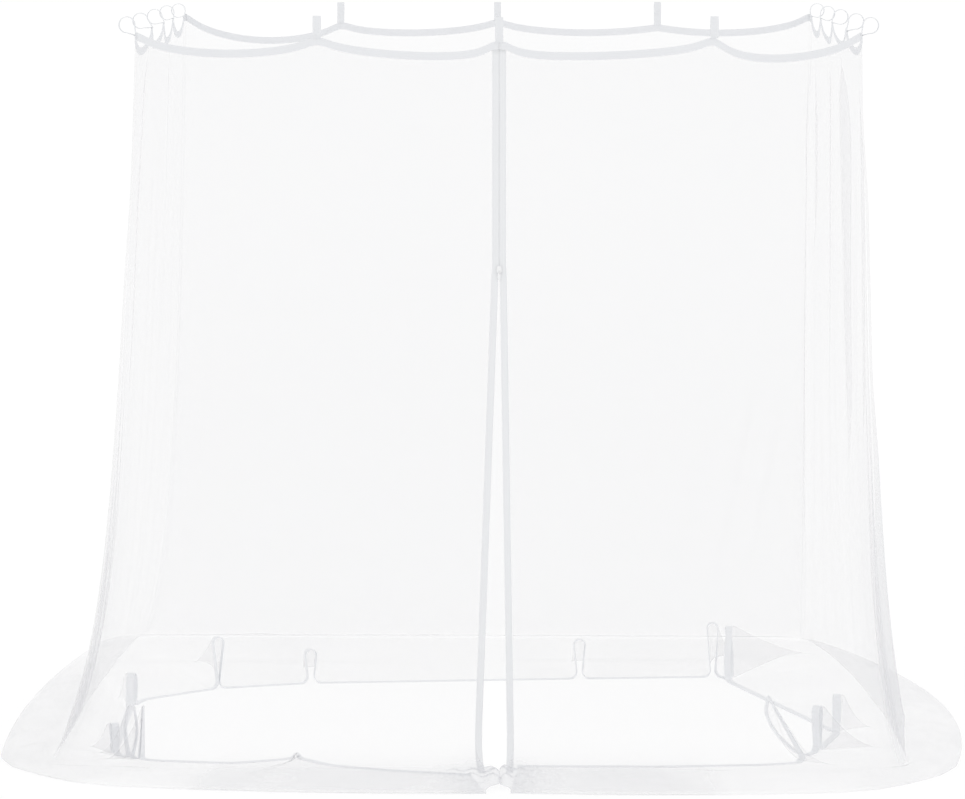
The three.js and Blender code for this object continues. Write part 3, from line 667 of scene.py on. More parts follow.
@dataclass
class HungNet:
    """The whole cloth as one surface of p and the rows down its length."""

    middle: Array
    density: Density = field(default_factory=Density)
    peak: Peak = field(default_factory=Peak)
    gather: CornerGather = field(default_factory=CornerGather)
    knot: DoorKnot = field(default_factory=DoorKnot)
    corner_ease: tuple[float, float] = (0.020, 0.030)
    flare_parts: tuple[float, float, float] = (0.30, 0.25, 0.45)
    kick_power: int = 8
    door_parting: float = 0.0019
    pleat_start: float = 0.08
    drawn_end: float = 0.3
    wall_wave: float = 0.0025
    crease_ease: float = 0.15
    puff: float = 0.004
    lay_fold: float = 0.007
    lay_round: float = 0.7
    full_lay: float = 0.30
    row_crowding: float = 0.7
    ruck_step: float = 0.006
    seam_columns: tuple[float, ...] = (0.0015, 0.003, 0.005, 0.008, 0.014, 0.022)
    knot_columns: tuple[float, float] = (0.13, 0.005)
    closest: float = 0.0009

    def __post_init__(self) -> None:
        """Turns the tables into arrays and lays out the hems."""
        self.ats = np.array([post.at for post in POSTS])
        self.tops = np.array([post.top for post in POSTS])
        self.feet = np.array([post.foot for post in POSTS])
        self.folds = np.array([post.fold for post in POSTS])
        self.eases = np.array([post.ease for post in POSTS])
        self.outs = np.array([wall.side.value for wall in WALLS])
        self.foot_bulges = np.array([wall.foot_bulge for wall in WALLS])
        self.fold_bulges = np.array([wall.fold_bulge for wall in WALLS])
        self.hems = [HemLine(wall.hem) for wall in WALLS]
        self.slider_top, self.slider_foot = self.slider_shares()

    def slider_shares(self) -> tuple[float, float]:
        """Shares of the drop at the zip slider's top and foot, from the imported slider."""
        low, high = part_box("zip_slider")
        return tuple((HANG - z) / (HANG - LAY_MID) for z in (high[2], low[2]))

    def flare(self, t: Array) -> Array:
        """Share of its way outwards that a wall has moved at drop t: even, bowed, and a kick at the foot."""
        even, bowed, kick = self.flare_parts
        return even * t + bowed * t**2 + kick * t**self.kick_power

    def posts_at(self, t: Array) -> Array:
        """Level places of the posts at drop t: a door edge is shut down to the slider and parts below it.

        Args:
            t: Shares of the drop.

        Returns:
            Places, one row for each t and one column for each post.
        """
        places = mix(self.tops, self.feet, self.flare(t)[:, None, None])
        for i, post in enumerate(POSTS):
            if post.door:
                at_slider = self.door_parting / abs(post.foot[0] - post.top[0])
                parts = np.interp(t, (self.slider_top, self.slider_foot, 1.0), (0.0, at_slider, 1.0))
                places[:, i, 0] = mix(post.top[0], post.foot[0], parts)
        return places

    def along(self, p: Array, posts: Array, bulge: Array) -> Array:
        """Straight runs between posts, pushed outwards by a parabola; past a door edge they go straight on.

        Args:
            p: Places round the net, one row for each row of posts.
            posts: Level places of the posts in each row.
            bulge: Bulge of each wall in each row.

        Returns:
            Level places, in the shape of p by two.
        """
        row = np.arange(len(p))[:, None]
        i = np.searchsorted(self.ats[1:-1], p)
        inside = np.clip(p, self.ats[i], self.ats[i + 1])
        s = (inside - self.ats[i]) / (self.ats[i + 1] - self.ats[i])
        place = mix(posts[row, i], posts[row, i + 1], s[..., None])
        place = place + self.outs[i] * (bulge[row, i] * 4 * s * (1 - s))[..., None]
        place[..., 0] += p - inside
        return place

    def eased(self, p: Array, posts: Array, bulge: Array, reach: Array) -> Array:
        """The runs rounded at the corners, by averaging over a length to each side.

        Args:
            p: Places round the net, one row for each row of posts.
            posts: Level places of the posts in each row.
            bulge: Bulge of each wall in each row.
            reach: Length to each side.

        Returns:
            Level places, in the shape of p by two.
        """
        span = np.minimum(reach, np.minimum(abs(p - EDGE), abs(AROUND - EDGE - p)))
        return np.mean([self.along(p + tap * span, posts, bulge) for tap in TAPS], axis=0)

    def fold_place(self, p: Array) -> Array:
        """Level places of the outer fold on the floor."""
        ease = np.interp(p, self.ats, self.eases)
        return self.eased(p[None], self.folds[None], self.fold_bulges[None], ease[None])[0]

    def top_height(self, p: Array) -> Array:
        """Height of the scalloped top edge: each swag is a parabola, drawn up to a peak under its loops.

        A swag's parabola is skewed to where it hangs lowest. A peak falls away with the distance beyond its
        flat top, rounded near it.

        Args:
            p: Places round the net.

        Returns:
            Heights above the floor.
        """
        ends = np.array([0.0] + [swag.end for swag in SWAGS])
        drops = np.array([swag.drop for swag in (SWAGS[-1], *SWAGS)])
        peaks = np.array([swag.peak for swag in (SWAGS[-1], *SWAGS)])
        sags = np.array([swag.sag for swag in SWAGS]) - self.peak.sag_lost
        skews = np.array([math.log(0.5) / math.log(swag.low) for swag in SWAGS])
        q = np.clip(p, 0, AROUND)
        i = np.clip(np.searchsorted(ends, q) - 1, 0, len(sags) - 1)
        s = (q - ends[i]) / (ends[i + 1] - ends[i])
        first, last = np.abs(q - ends[i]), np.abs(q - ends[i + 1])
        off = np.maximum(0, np.minimum(first, last) - self.peak.flat)
        fall = np.exp(-np.sqrt(off**2 + self.peak.rounding**2) / self.peak.reach)
        peak = peaks[np.where(first < last, i, i + 1)] * fall
        bow = s ** skews[i]
        return HANG - mix(drops[i], drops[i + 1], s) - sags[i] * 4 * bow * (1 - bow) + peak

    def pleat_push(self, p: Array, t: Array) -> Array:
        """Push outwards of the upright folds: bells across the cloth, dying away to the floor.

        Args:
            p: Places round the net.
            t: Shares of the drop.

        Returns:
            Pushes square to the wall.
        """
        fade = np.minimum(1, t / self.pleat_start) * (1 - t)
        pleats = [row.depth * bell(p - row.at - row.drift * t, row.wide) for row in PLEATS]
        drawn = [row.depth * bell(p - row.at, row.wide) for row in DRAWN_IN]
        return fade * np.sum(pleats, axis=0) + (1 - smooth(t, 0.0, self.drawn_end)) * np.sum(drawn, axis=0)

    def wall(self, p: Array, t: Array) -> Array:
        """Points of the walls at places p and drops t.

        Args:
            p: Places round the net.
            t: Shares of the drop.

        Returns:
            Points, one row for each t and one column for each p.
        """
        drop = t[:, None]
        bulge = self.foot_bulges * self.flare(drop)
        level = self.eased(p[None], self.posts_at(t), bulge, mix(*self.corner_ease, drop))
        facing = self.outs[np.searchsorted(self.ats[1:-1], p)]
        level = level + facing[None] * self.pleat_push(p[None], drop)[..., None]
        height = mix(self.top_height(p)[None], LAY_MID, drop)
        return np.concatenate([level, height[..., None]], axis=2) + self.middle

    def crease_push(self, p: Array, t: Array) -> Array:
        """Push of the finer creases and of the cloth gathered at the front corners, along the cloth's face.

        Creases are bells across the cloth that fade at both ends of their span, and the gathered cloth is a
        sine round the net under a bell.

        Args:
            p: Places round the net.
            t: Shares of the drop.

        Returns:
            Pushes along the cloth's face.
        """
        push = self.wall_wave * ripple(p, t, WALL_WAVES) * smooth(t, 0.05, 0.5)
        for row in CREASES:
            opens = smooth(t, row.start, row.start + self.crease_ease)
            closes = smooth(t, row.end - self.crease_ease, row.end)
            push = push + row.depth * (opens * (1 - closes)) * bell(p - row.at - row.drift * t, row.wide)
        for corner, lead in ((SIDE, 0.15), (7 * SIDE, 0.6)):
            off = p - corner
            near = bell(off, self.gather.reach) * smooth(t, *self.gather.span)
            wave = np.sin(2 * np.pi * (off / self.gather.pitch + lead + self.gather.slant * t))
            push = push + self.gather.depth * near * wave
        return push

    def lay_push(self, p: Array, k: Array, length: Array) -> Array:
        """Lift of the cloth on the floor: a soft puff with folds from wall to fold, less on a short lay.

        Args:
            p: Places round the net.
            k: Shares of the lay.
            length: Length of the lay at each place.

        Returns:
            Lifts along the cloth's face.
        """
        puff = self.puff * (1 + 0.5 * ripple(p, k, PUFF_WAVES))
        folds = 0.5 + 0.5 * ripple(p, k, FOLD_WAVES)
        ends = np.sin(np.pi * k) ** self.lay_round
        return (puff + self.lay_fold * folds**2) * ends * np.clip(length / self.full_lay, 0, 1)

    def fullness_wall(self, i: int, p: Array, t: Array) -> Array:
        """How many times over the cloth is gathered: more in the seams and down the corners.

        Args:
            i: Number of the wall.
            p: Places round the net.
            t: Shares of the drop.

        Returns:
            Layers of flat cloth.
        """
        plan, dense = WALLS[i], self.density
        lower = smooth(t, *dense.lower_span)
        full = plan.dense + (dense.back_lower if plan.side is Side.BACK else 0.0) * lower + np.zeros_like(p)
        for corner in (SIDE, 3 * SIDE, 5 * SIDE, 7 * SIDE):
            full = full + dense.seam * plan.dense * bell(p - corner, dense.seam_wide)
        if plan.side in (Side.LEFT, Side.RIGHT):
            gathered = dense.back_corner + dense.back_corner_lower * lower
            for corner in (3 * SIDE, 5 * SIDE):
                full = full + gathered * bell(p - corner, dense.back_corner_wide)
        for corner, front, gathered in ((SIDE, -1, dense.front_right), (7 * SIDE, 1, dense.front_left)):
            off = p - corner
            wide = np.where(off * front > 0, *dense.front_wide)
            full = full + gathered * bell(off, wide) * smooth(t, *dense.front_span)
        return full

    def fullness_floor(self, p: Array) -> Array:
        """How dense the cloth lies on the floor: more to both sides of the door, where it is folded over.

        Args:
            p: Places round the net.

        Returns:
            Layers of flat cloth.
        """
        dense = self.density
        full = dense.lay + dense.lay_uneven * ripple(p, p, DENSE_WAVES)
        door = np.minimum(p, AROUND - p)
        band = np.where(p < AROUND / 2, 1 - smooth(p, *dense.band_right), 1 - smooth(door, *dense.band_left))
        bare = dense.bare * bell(p - dense.bare_at, dense.bare_wide)
        return full - bare + dense.band * band + dense.knot * bell(door, dense.knot_wide)

    def smudged(self, points: Array) -> Array:
        """Density of the listed dense places: a bell across each of them."""
        x, y, _ = np.moveaxis(points - self.middle, -1, 0)
        return sum(row.dense * bell(x - row.x, row.wide) * bell(y - row.y, row.deep) for row in SMUDGES)

    def drape(self, i: int, p: Array, rows: Rows) -> Drape:
        """The whole net of one wall, from under its top tape to under its hem tape.

        The bend is a quadratic curve from the wall over its foot to the lay, the lay is straight to the fold,
        the fold is half a circle, and the return runs straight to the hem, taking up its rucks near it. Each
        point is then pushed along the cloth's face.

        Args:
            i: Number of the wall.
            p: Columns of the net.
            rows: How many rows each stretch has.

        Returns:
            The net's grid.
        """
        start, end = self.ats[i], self.ats[i + 1]
        fold = self.fold_place(p)
        hem = self.hems[i].at((p - start) / (end - start), fold)
        inward = unit(hem.steady() - fold)
        t = np.linspace(UNDER_TAPE / HANG, WALL_END, rows.wall)
        bend_share, lay_share, fold_share, back_share = (
            np.linspace(0, 1, count + 1)[1:, None] for count in (rows.bend, rows.lay, rows.fold, rows.back)
        )
        knee, foot = self.wall(p, np.array([WALL_END, 1.0]))
        brow = self.lift(fold + inward * FOLD_RADIUS, LAY_MID)
        bends = bend_curve(knee, foot, brow, bend_share[..., None])
        lays = mix(foot, brow, mix(LAY_START, 1, lay_share[..., None]))
        turn = np.pi * fold_share
        out = fold[None] + inward[None] * (FOLD_RADIUS * (1 - np.sin(turn)))[..., None]
        folds = self.lift(out, FLOOR_MID + FOLD_RADIUS * (1 + np.cos(turn)))
        backs, raised = self.returned(hem, fold, back_share)
        points = np.concatenate([self.wall(p, t), bends, lays, folds, backs])

        wall_end, bend_end, lay_end, fold_end = np.cumsum([rows.wall, rows.bend, rows.lay, rows.fold])
        push = np.zeros(points.shape[:2])
        push[:wall_end] = self.crease_push(p[None], t[:, None])
        push[wall_end:bend_end] = push[wall_end - 1] * (1 - bend_share) ** 2
        push[bend_end:lay_end] = self.lay_push(p[None], lay_share, np.linalg.norm(brow - foot, axis=1)[None])
        lying = self.fullness_floor(p)
        over = lying * (self.density.back_lay if WALLS[i].side is Side.BACK else 1.0)
        full = np.empty(points.shape[:2])
        full[:wall_end] = self.fullness_wall(i, p[None], t[:, None])
        full[wall_end:bend_end] = mix(full[wall_end - 1], over, bend_share**3)
        full[bend_end:fold_end] = over
        full[fold_end:] = self.density.under * lying + hem.dense * raised
        full[wall_end:] += self.smudged(points[wall_end:])
        points = points + Drape(points, full).normals * push[..., None]
        points[wall_end:lay_end] += self.door_gather(p, bend_share, lay_share)
        return Drape(points, full)

    def returned(self, hem: HemPlace, fold: Array, share: Array) -> tuple[Array, Array]:
        """The cloth below the lay, from the fold straight to the hem and square to it at the end.

        A ruck of the hem falls away over its reach, by one less the share of the reach to the power of its
        slope.

        Args:
            hem: The hem at the columns.
            fold: Level places of the outer fold at the columns.
            share: Shares of the rows.

        Returns:
            Points, and the share of the ruck's height that each one has.
        """
        steady = hem.steady()
        inward = unit(steady - fold)
        length = STEADY + np.linalg.norm(steady - fold, axis=1) - FOLD_RADIUS
        behind = mix(length[None], UNDER_TAPE, share**self.row_crowding)
        raised = np.clip(1 - np.maximum(0, behind - STEADY) / hem.reach, 0, 1) ** hem.slope
        square = hem.place[None] + hem.outward[None] * behind[..., None]
        straight = steady[None] + inward[None] * (STEADY - behind)[..., None]
        level = np.where((behind < STEADY)[..., None], square, straight)
        return self.lift(level, FLOOR_MID + hem.up[None] * raised), raised

    def door_gather(self, p: Array, bend_share: Array, lay_share: Array) -> Array:
        """Moves the cloth at the foot of the door towards its middle, in a knot of small folds.

        The move fades away from the door as a bell, and at both ends of the lay. The folds are two crossing
        waves, lifted off the floor.

        Args:
            p: Columns of the net.
            bend_share: Shares of the rows in the bend.
            lay_share: Shares of the rows in the lay.

        Returns:
            Moves of the points in the bend and the lay.
        """
        knot = self.knot
        right = p < AROUND / 2
        off = np.where(right, p - EDGE, AROUND - EDGE - p)
        grows = mix(knot.start, 1.0, smooth(lay_share, 0.0, 0.3))
        ends = 1 - smooth(lay_share, 0.80, 1.0)
        strength = np.concatenate([knot.start * smooth(bend_share, 0.3, 1.0), grows * ends])
        run = np.concatenate([bend_share - 1, lay_share])
        first = np.sin(2 * np.pi * (off / knot.pitch + knot.turns[0] * run))
        second = np.sin(2 * np.pi * (knot.turns[1] * run - off / (2 * knot.pitch)))
        moves = np.zeros(strength.shape[:1] + p.shape + (3,))
        shift = np.where(right, -knot.shift[0], knot.shift[1])
        moves[..., 0] = shift * bell(off, knot.reach) * strength
        lifted = bell(off, knot.spread * knot.reach) * strength
        moves[..., 2] = knot.lift * (0.5 + 0.5 * first * second) * lifted
        return moves

    def lift(self, level: Array, height: Array | float) -> Array:
        """Points over level places at a height, in the part's frame."""
        z = np.broadcast_to(height, level.shape[:-1])
        return np.concatenate([level, z[..., None]], axis=-1) + self.middle

    def columns(self, i: int, step: float) -> Array:
        """Columns of one net: a step apart, closer round its rucks, next to its seams and at the door.

        Args:
            i: Number of the wall.
            step: Distance between plain columns.

        Returns:
            Places round the net, in order.
        """
        start, end = self.ats[i], self.ats[i + 1]
        hem = self.hems[i]
        scale = (end - start) / hem.cloth_length
        seam, knot = np.array(self.seam_columns), np.arange(0.0, *self.knot_columns)
        places = [np.linspace(start, end, int((end - start) / step) + 1), start + seam, end - seam]
        places += [start + (ruck.cloth_start + ruck.columns(self.ruck_step)) * scale for ruck in hem.rucks]
        places += [start + knot] if POSTS[i].door else []
        places += [end - knot] if POSTS[i + 1].door else []
        joined = np.unique(np.round(np.concatenate(places), 5))
        return joined[np.concatenate([[True], np.diff(joined) > self.closest])]


# Meshes from arrays


@dataclass
class Patch:
    """Points, faces and corner UVs of one surface, and values that its points carry."""

    points: Array
    faces: list[Array]
    uvs: list[Array]
    values: dict[str, Array] = field(default_factory=dict)


def grid_patch(
    points: Array, uv: Array, closed: bool = False, caps: bool = False, flip: bool = False,
) -> Patch:
    """Quads over a grid of points, rows by columns.

    Args:
        points: Grid of points.
        uv: Grid of UVs in metres, with one more column than points where the columns close on themselves.
        closed: Whether the last column joins the first.
        caps: Whether the first and last rows are filled with a face.
        flip: Whether the faces are turned over.

    Returns:
        The patch, its faces pointing along down times round.
    """
    rows, columns = points.shape[:2]
    index = np.arange(rows * columns).reshape(rows, columns)
    if closed:
        index = np.concatenate([index, index[:, :1]], axis=1)
    order = ((0, 0), (1, 0), (1, 1), (0, 1))
    if flip:
        order = order[::-1]

    def corners(grid: Array) -> Array:
        """The four corners of each quad, taken from a grid of values."""
        height, width = grid.shape[0] - 1, grid.shape[1] - 1
        picked = [grid[a : a + height, b : b + width] for a, b in order]
        return np.stack(picked, axis=2).reshape((height * width, 4) + grid.shape[2:])

    faces, uvs = [corners(index)], [corners(uv).reshape(-1, 2)]
    if caps:
        first, last = index[0, :columns], index[-1, :columns]
        ends = (first[::-1], last) if flip else (first, last[::-1])
        for end, row in zip(ends, (0, -1)):
            faces.append(end[None])
            uvs.append(np.repeat(uv[row, :1], columns, axis=0))
    return Patch(points.reshape(-1, 3), faces, uvs)


def join_patches(patches: list[Patch]) -> Patch:
    """Several patches as one, their faces renumbered.

    Args:
        patches: The patches, in order.

    Returns:
        One patch with the points, faces and UVs of all.
    """
    starts = np.cumsum([0] + [len(patch.points) for patch in patches])
    faces = [face + start for patch, start in zip(patches, starts) for face in patch.faces]
    points = np.concatenate([patch.points for patch in patches])
    return Patch(points, faces, [uv for patch in patches for uv in patch.uvs])


def make_piece(name: str, patch: Patch, slots: list[bpy.types.Material]) -> bpy.types.Object:
    """A smooth mesh object of a patch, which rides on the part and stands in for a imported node.

    Args:
        name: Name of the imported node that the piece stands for.
        patch: The surface.
        slots: Its materials.

    Returns:
        The object.
    """
    mesh = bpy.data.meshes.new(name)
    faces = [row for group in patch.faces for row in group.tolist()]
    mesh.from_pydata(patch.points, [], faces)
    layer = mesh.uv_layers.new(name="cloth")
    layer.data.foreach_set("uv", np.concatenate(patch.uvs).astype(np.float32).ravel())
    for key, values in patch.values.items():
        attribute = mesh.attributes.new(key, "FLOAT", "POINT")
        attribute.data.foreach_set("value", values.astype(np.float32).ravel())
    mesh.polygons.foreach_set("use_smooth", np.ones(len(mesh.polygons), dtype=bool))
    for material in slots:
        mesh.materials.append(material)
    mesh.update()
    piece = bpy.data.objects.new(f"{name}_piece", mesh)
    bpy.context.scene.collection.objects.link(piece)
    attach(piece, "root")
    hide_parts(name)
    log.info("%s: %d faces", piece.name, len(mesh.polygons))
    return piece


def run_length(points: Array) -> Array:
    """Length along a row of points up to each one."""
    steps = np.linalg.norm(np.diff(points, axis=0), axis=1)
    return np.concatenate([[0.0], np.cumsum(steps)])


def tape_profile(rim: float = 0.055, steps: int = 6) -> Array:
    """Section of a tape: flat, with half ellipses at its rims.

    Args:
        rim: Depth of a rim, as a share of the tape's width.
        steps: Points of each rim.

    Returns:
        Places across from 0 to 1 and through from -0.5 to 0.5, once round.
    """
    a = np.linspace(-np.pi / 2, np.pi / 2, steps)
    across = rim * (1 - np.cos(a))
    through = 0.5 * np.sin(a)
    left, right = np.stack([across, through], axis=1), np.stack([1 - across, -through], axis=1)
    return np.concatenate([left, right])


def tape_patch(first: Array, second: Array, normals: Array, thick: float, flip: bool = False) -> Patch:
    """A tape between two edges: the tape's section carried along them.

    Args:
        first: Points of one edge along the tape.
        second: Points of the other edge.
        normals: Ways that the tape's face points.
        thick: Thickness of the tape.
        flip: Whether the faces are turned over.

    Returns:
        A closed patch with ends, its UV along the tape and across it.
    """
    section = tape_profile()
    across, through = section[:, 0][None, :, None], section[:, 1][None, :, None]
    points = mix(first[:, None], second[:, None], across) + normals[:, None] * through * thick
    along = run_length((first + second) / 2)
    wide = float(np.linalg.norm(second - first, axis=1).mean())
    round_tape = np.append(section[:, 0], section[0, 0]) * wide
    uv = np.stack(np.broadcast_arrays(along[:, None], round_tape[None]), axis=2)
    return grid_patch(points, uv, closed=True, caps=True, flip=flip)


# Shader nodes


@dataclass
class Sketch:
    """A node tree being drawn."""

    tree: bpy.types.NodeTree

    def node(self, kind: str, **settings: object) -> bpy.types.Node:
        """A new node.

        Args:
            kind: The node's type.
            settings: Properties to set on it.

        Returns:
            The node.
        """
        node = self.tree.nodes.new(kind)
        for key, value in settings.items():
            setattr(node, key, value)
        return node

    def feed(self, socket: Socket, source: Socket | float | Colour) -> None:
        """Links a source to a socket, or sets a plain value on it.

        Args:
            socket: The socket to feed.
            source: Another socket, a value or a colour.
        """
        if isinstance(source, bpy.types.NodeSocket):
            self.tree.links.new(source, socket)
        else:
            socket.default_value = source

    def math(self, operation: str, *values: Socket | float, clamp: bool = False) -> Socket:
        """A Math node on one to three values.

        Args:
            operation: Blender's name of the operation.
            values: Sockets or plain values.
            clamp: Whether the result is kept from 0 to 1.

        Returns:
            The result.
        """
        node = self.node("ShaderNodeMath", operation=operation, use_clamp=clamp)
        for socket, value in zip(node.inputs, values):
            self.feed(socket, value)
        return node.outputs[0]

    def blend(self, share: Socket | float, first: Socket | Colour, second: Socket | Colour) -> Socket:
        """A colour a share of the way between two colours.

        Args:
            share: The share of the second colour.
            first: Colour at share 0.
            second: Colour at share 1.

        Returns:
            The colour.
        """
        node = self.node("ShaderNodeMix", data_type="RGBA")
        for number, source in ((0, share), (6, first), (7, second)):
            self.feed(node.inputs[number], source)
        return node.outputs[2]

    def split(self, vector: Socket) -> tuple[Socket, Socket, Socket]:
        """The three parts of a vector."""
        node = self.node("ShaderNodeSeparateXYZ")
        self.feed(node.inputs[0], vector)
        return tuple(node.outputs)

    def wave(self, place: Socket, pitch: Socket) -> Socket:
        """A sine of a place that turns once in each pitch."""
        turns = self.math("DIVIDE", place, pitch)
        return self.math("SINE", self.math("MULTIPLY", turns, 2 * math.pi))

    def group(self, tree: bpy.types.NodeTree, **values: Socket | float) -> Socket:
        """A node group placed with its values.

        Args:
            tree: The group.
            values: Its inputs by name, with underscores for spaces.

        Returns:
            The group's one output.
        """
        node = self.node("ShaderNodeGroup", node_tree=tree)
        for key, value in values.items():
            self.feed(node.inputs[key.replace("_", " ")], value)
        return node.outputs[0]

    def bump(self, shader: bpy.types.Node, height: Socket, strength: float, distance: float) -> None:
        """Gives a shader the normal of a bump.

        Args:
            shader: The shader.
            height: Height of the surface.
            strength: Strength of the bump.
            distance: Distance that a height of one stands for.
        """
        node = self.node("ShaderNodeBump")
        for key, source in (("Strength", strength), ("Distance", distance), ("Height", height)):
            self.feed(node.inputs[key], source)
        self.feed(shader.inputs["Normal"], node.outputs[0])


@dataclass
class Effects:
    """Node groups that several finishes share, each built once.

    The ribs have the turns by which they wander along and down the cloth, and their least and added strength.
    A stitch has half the width of its thread and half the share of its length that shows.
    """

    rib_wander: tuple[float, float] = (9.0, 5.0)
    rib_strength: tuple[float, float] = (0.3, 0.2)
    thread_half: float = 0.0006
    stitch_half: float = 0.36
    tone_detail: float = 3.0

    def __post_init__(self) -> None:
        """Builds the groups."""
        self.weave = self.build_weave()
        self.ribs = self.build_ribs()
        self.sewing = self.build_sewing()
        self.mottle = self.build_mottle()

    @staticmethod
    def start(name: str, values: tuple[str, ...], output: str) -> tuple[Sketch, dict[str, Socket], Socket]:
        """A new group with a vector Place, further values and one output value.

        Args:
            name: The group's name.
            values: Names of the further inputs.
            output: Name of the output.

        Returns:
            The sketch, the inner input sockets by name, and the inner output socket.
        """
        tree = bpy.data.node_groups.new(name, "ShaderNodeTree")
        tree.interface.new_socket("Place", in_out="INPUT", socket_type="NodeSocketVector")
        for key in values:
            tree.interface.new_socket(key, in_out="INPUT", socket_type="NodeSocketFloat")
        tree.interface.new_socket(output, in_out="OUTPUT", socket_type="NodeSocketFloat")
        sketch = Sketch(tree)
        inner = sketch.node("NodeGroupInput").outputs
        sockets = {key: inner[key] for key in ("Place", *values)}
        return sketch, sockets, sketch.node("NodeGroupOutput").inputs[output]

    def build_weave(self) -> bpy.types.NodeTree:
        """Plain weave on a UV in metres: sine along times sine across, over and under like a chequer.

        Returns:
            The group.
        """
        sketch, inner, out = self.start("plain weave", ("Pitch along", "Pitch across"), "Height")
        along, across, _ = sketch.split(inner["Place"])
        first, second = sketch.wave(along, inner["Pitch along"]), sketch.wave(across, inner["Pitch across"])
        sketch.feed(out, sketch.math("MULTIPLY_ADD", sketch.math("MULTIPLY", first, second), 0.5, 0.5))
        return sketch.tree

    def build_ribs(self) -> bpy.types.NodeTree:
        """Ribs across the cloth on a UV in metres: a sine down it, stronger and weaker along it.

        Returns:
            The group.
        """
        sketch, inner, out = self.start("knitted ribs", ("Pitch",), "Height")
        along, down, _ = sketch.split(inner["Place"])
        drift = sketch.math("MULTIPLY", down, self.rib_wander[1])
        wander = sketch.math("SINE", sketch.math("MULTIPLY_ADD", along, self.rib_wander[0], drift))
        least, added = self.rib_strength
        strength = sketch.math("MULTIPLY_ADD", wander, added, least)
        sketch.feed(out, sketch.math("MULTIPLY_ADD", sketch.wave(down, inner["Pitch"]), strength, 0.5))
        return sketch.tree

    def build_sewing(self) -> bpy.types.NodeTree:
        """Two rows of sewing on a tape's UV: dashes along, a fixed way in from each edge.

        Returns:
            The group.
        """
        sketch, inner, out = self.start("sewing rows", ("Tape width", "Inset", "Stitch"), "Thread")
        along, across, _ = sketch.split(inner["Place"])
        half = sketch.math("MULTIPLY", inner["Tape width"], 0.5)
        row = sketch.math("SUBTRACT", half, inner["Inset"])
        off = sketch.math("ABSOLUTE", sketch.math("SUBTRACT", across, half))
        beside = sketch.math("ABSOLUTE", sketch.math("SUBTRACT", off, row))
        line = sketch.math("SUBTRACT", 1.0, sketch.math("DIVIDE", beside, self.thread_half), clamp=True)
        turns = sketch.math("FRACT", sketch.math("DIVIDE", along, inner["Stitch"]))
        from_middle = sketch.math("ABSOLUTE", sketch.math("SUBTRACT", turns, 0.5))
        dash = sketch.math("LESS_THAN", from_middle, self.stitch_half)
        sketch.feed(out, sketch.math("MULTIPLY", line, dash))
        return sketch.tree

    def build_mottle(self) -> bpy.types.NodeTree:
        """Soft uneven tone: noise with a few finer octaves, about one half.

        Returns:
            The group.
        """
        sketch, inner, out = self.start("uneven tone", ("Scale",), "Tone")
        noise = sketch.node("ShaderNodeTexNoise")
        sources = {"Vector": inner["Place"], "Scale": inner["Scale"], "Detail": self.tone_detail}
        for key, source in sources.items():
            sketch.feed(noise.inputs[key], source)
        sketch.feed(out, noise.outputs[0])
        return sketch.tree

    def tone(self, sketch: Sketch, scale: float) -> Socket:
        """The uneven tone in a material, at a scale and on the piece's own coordinates."""
        place = sketch.node("ShaderNodeTexCoord").outputs["Object"]
        return sketch.group(self.mottle, Place=place, Scale=scale)


def new_material(name: str) -> tuple[bpy.types.Material, Sketch, bpy.types.Node]:
    """A material with only its Principled shader.

    Args:
        name: The material's name.

    Returns:
        The material, a sketch of its nodes, and the shader.
    """
    material = bpy.data.materials.new(name)
    material.use_nodes = True
    sketch = Sketch(material.node_tree)
    return material, sketch, material.node_tree.nodes["Principled BSDF"]


@dataclass(frozen=True)
class NetFinish:
    """Sheer net: pale thread that hides more of what is behind it the more it is gathered or turned away."""

    clear: float = 0.870
    slant_room: float = 0.80
    thread: Colour = (0.767, 0.765, 0.783, 1.0)
    # The darker colour below is painted shade: gathered cloth takes it in place of the shadow that its layers
    # cast on each other.
    painted_shade: Colour = (0.730, 0.735, 0.760, 1.0)
    shade_gain: float = 0.4
    row_pitch: float = 0.0075
    row_strength: float = 0.06
    mesh_pitch: float = 0.0018
    mesh_strength: float = 0.1
    rough: float = 0.85
    gloss: float = 0.2

    def material(self, effects: Effects) -> bpy.types.Material:
        """Alpha is one less the clear share to the power of the thread met: fullness, weave and slant.

        Args:
            effects: The shared node groups.

        Returns:
            The material.
        """
        material, sketch, shader = new_material("sheer net")
        uv = sketch.node("ShaderNodeUVMap", uv_map="cloth").outputs[0]
        rows = sketch.group(effects.ribs, Place=uv, Pitch=self.row_pitch)
        pitch = self.mesh_pitch
        mesh = sketch.group(effects.weave, Place=uv, Pitch_along=pitch, Pitch_across=pitch)
        facing = sketch.node("ShaderNodeLayerWeight")
        facing.inputs["Blend"].default_value = 0.5
        straight = sketch.math("SUBTRACT", 1 + self.slant_room, facing.outputs["Facing"])
        slant = sketch.math("DIVIDE", 1 + self.slant_room, straight)
        full = sketch.node("ShaderNodeAttribute", attribute_name="fullness").outputs["Fac"]
        met = sketch.math("MULTIPLY", slant, full)
        for height, strength in ((rows, self.row_strength), (mesh, self.mesh_strength)):
            uneven = sketch.math("MULTIPLY_ADD", height, strength, 1 - strength / 2)
            met = sketch.math("MULTIPLY", met, uneven)
        shows_through = sketch.math("POWER", self.clear, met)
        sketch.feed(shader.inputs["Alpha"], sketch.math("SUBTRACT", 1.0, shows_through))
        # Painted shade: the more the cloth is gathered, the further its colour goes from the thread's towards
        # the darker shade colour.
        gathered = sketch.math("MULTIPLY_ADD", full, self.shade_gain, -self.shade_gain, clamp=True)
        sketch.feed(shader.inputs["Base Color"], sketch.blend(gathered, self.thread, self.painted_shade))
        sketch.feed(shader.inputs["Roughness"], self.rough)
        sketch.feed(shader.inputs["Specular IOR Level"], self.gloss)
        return material


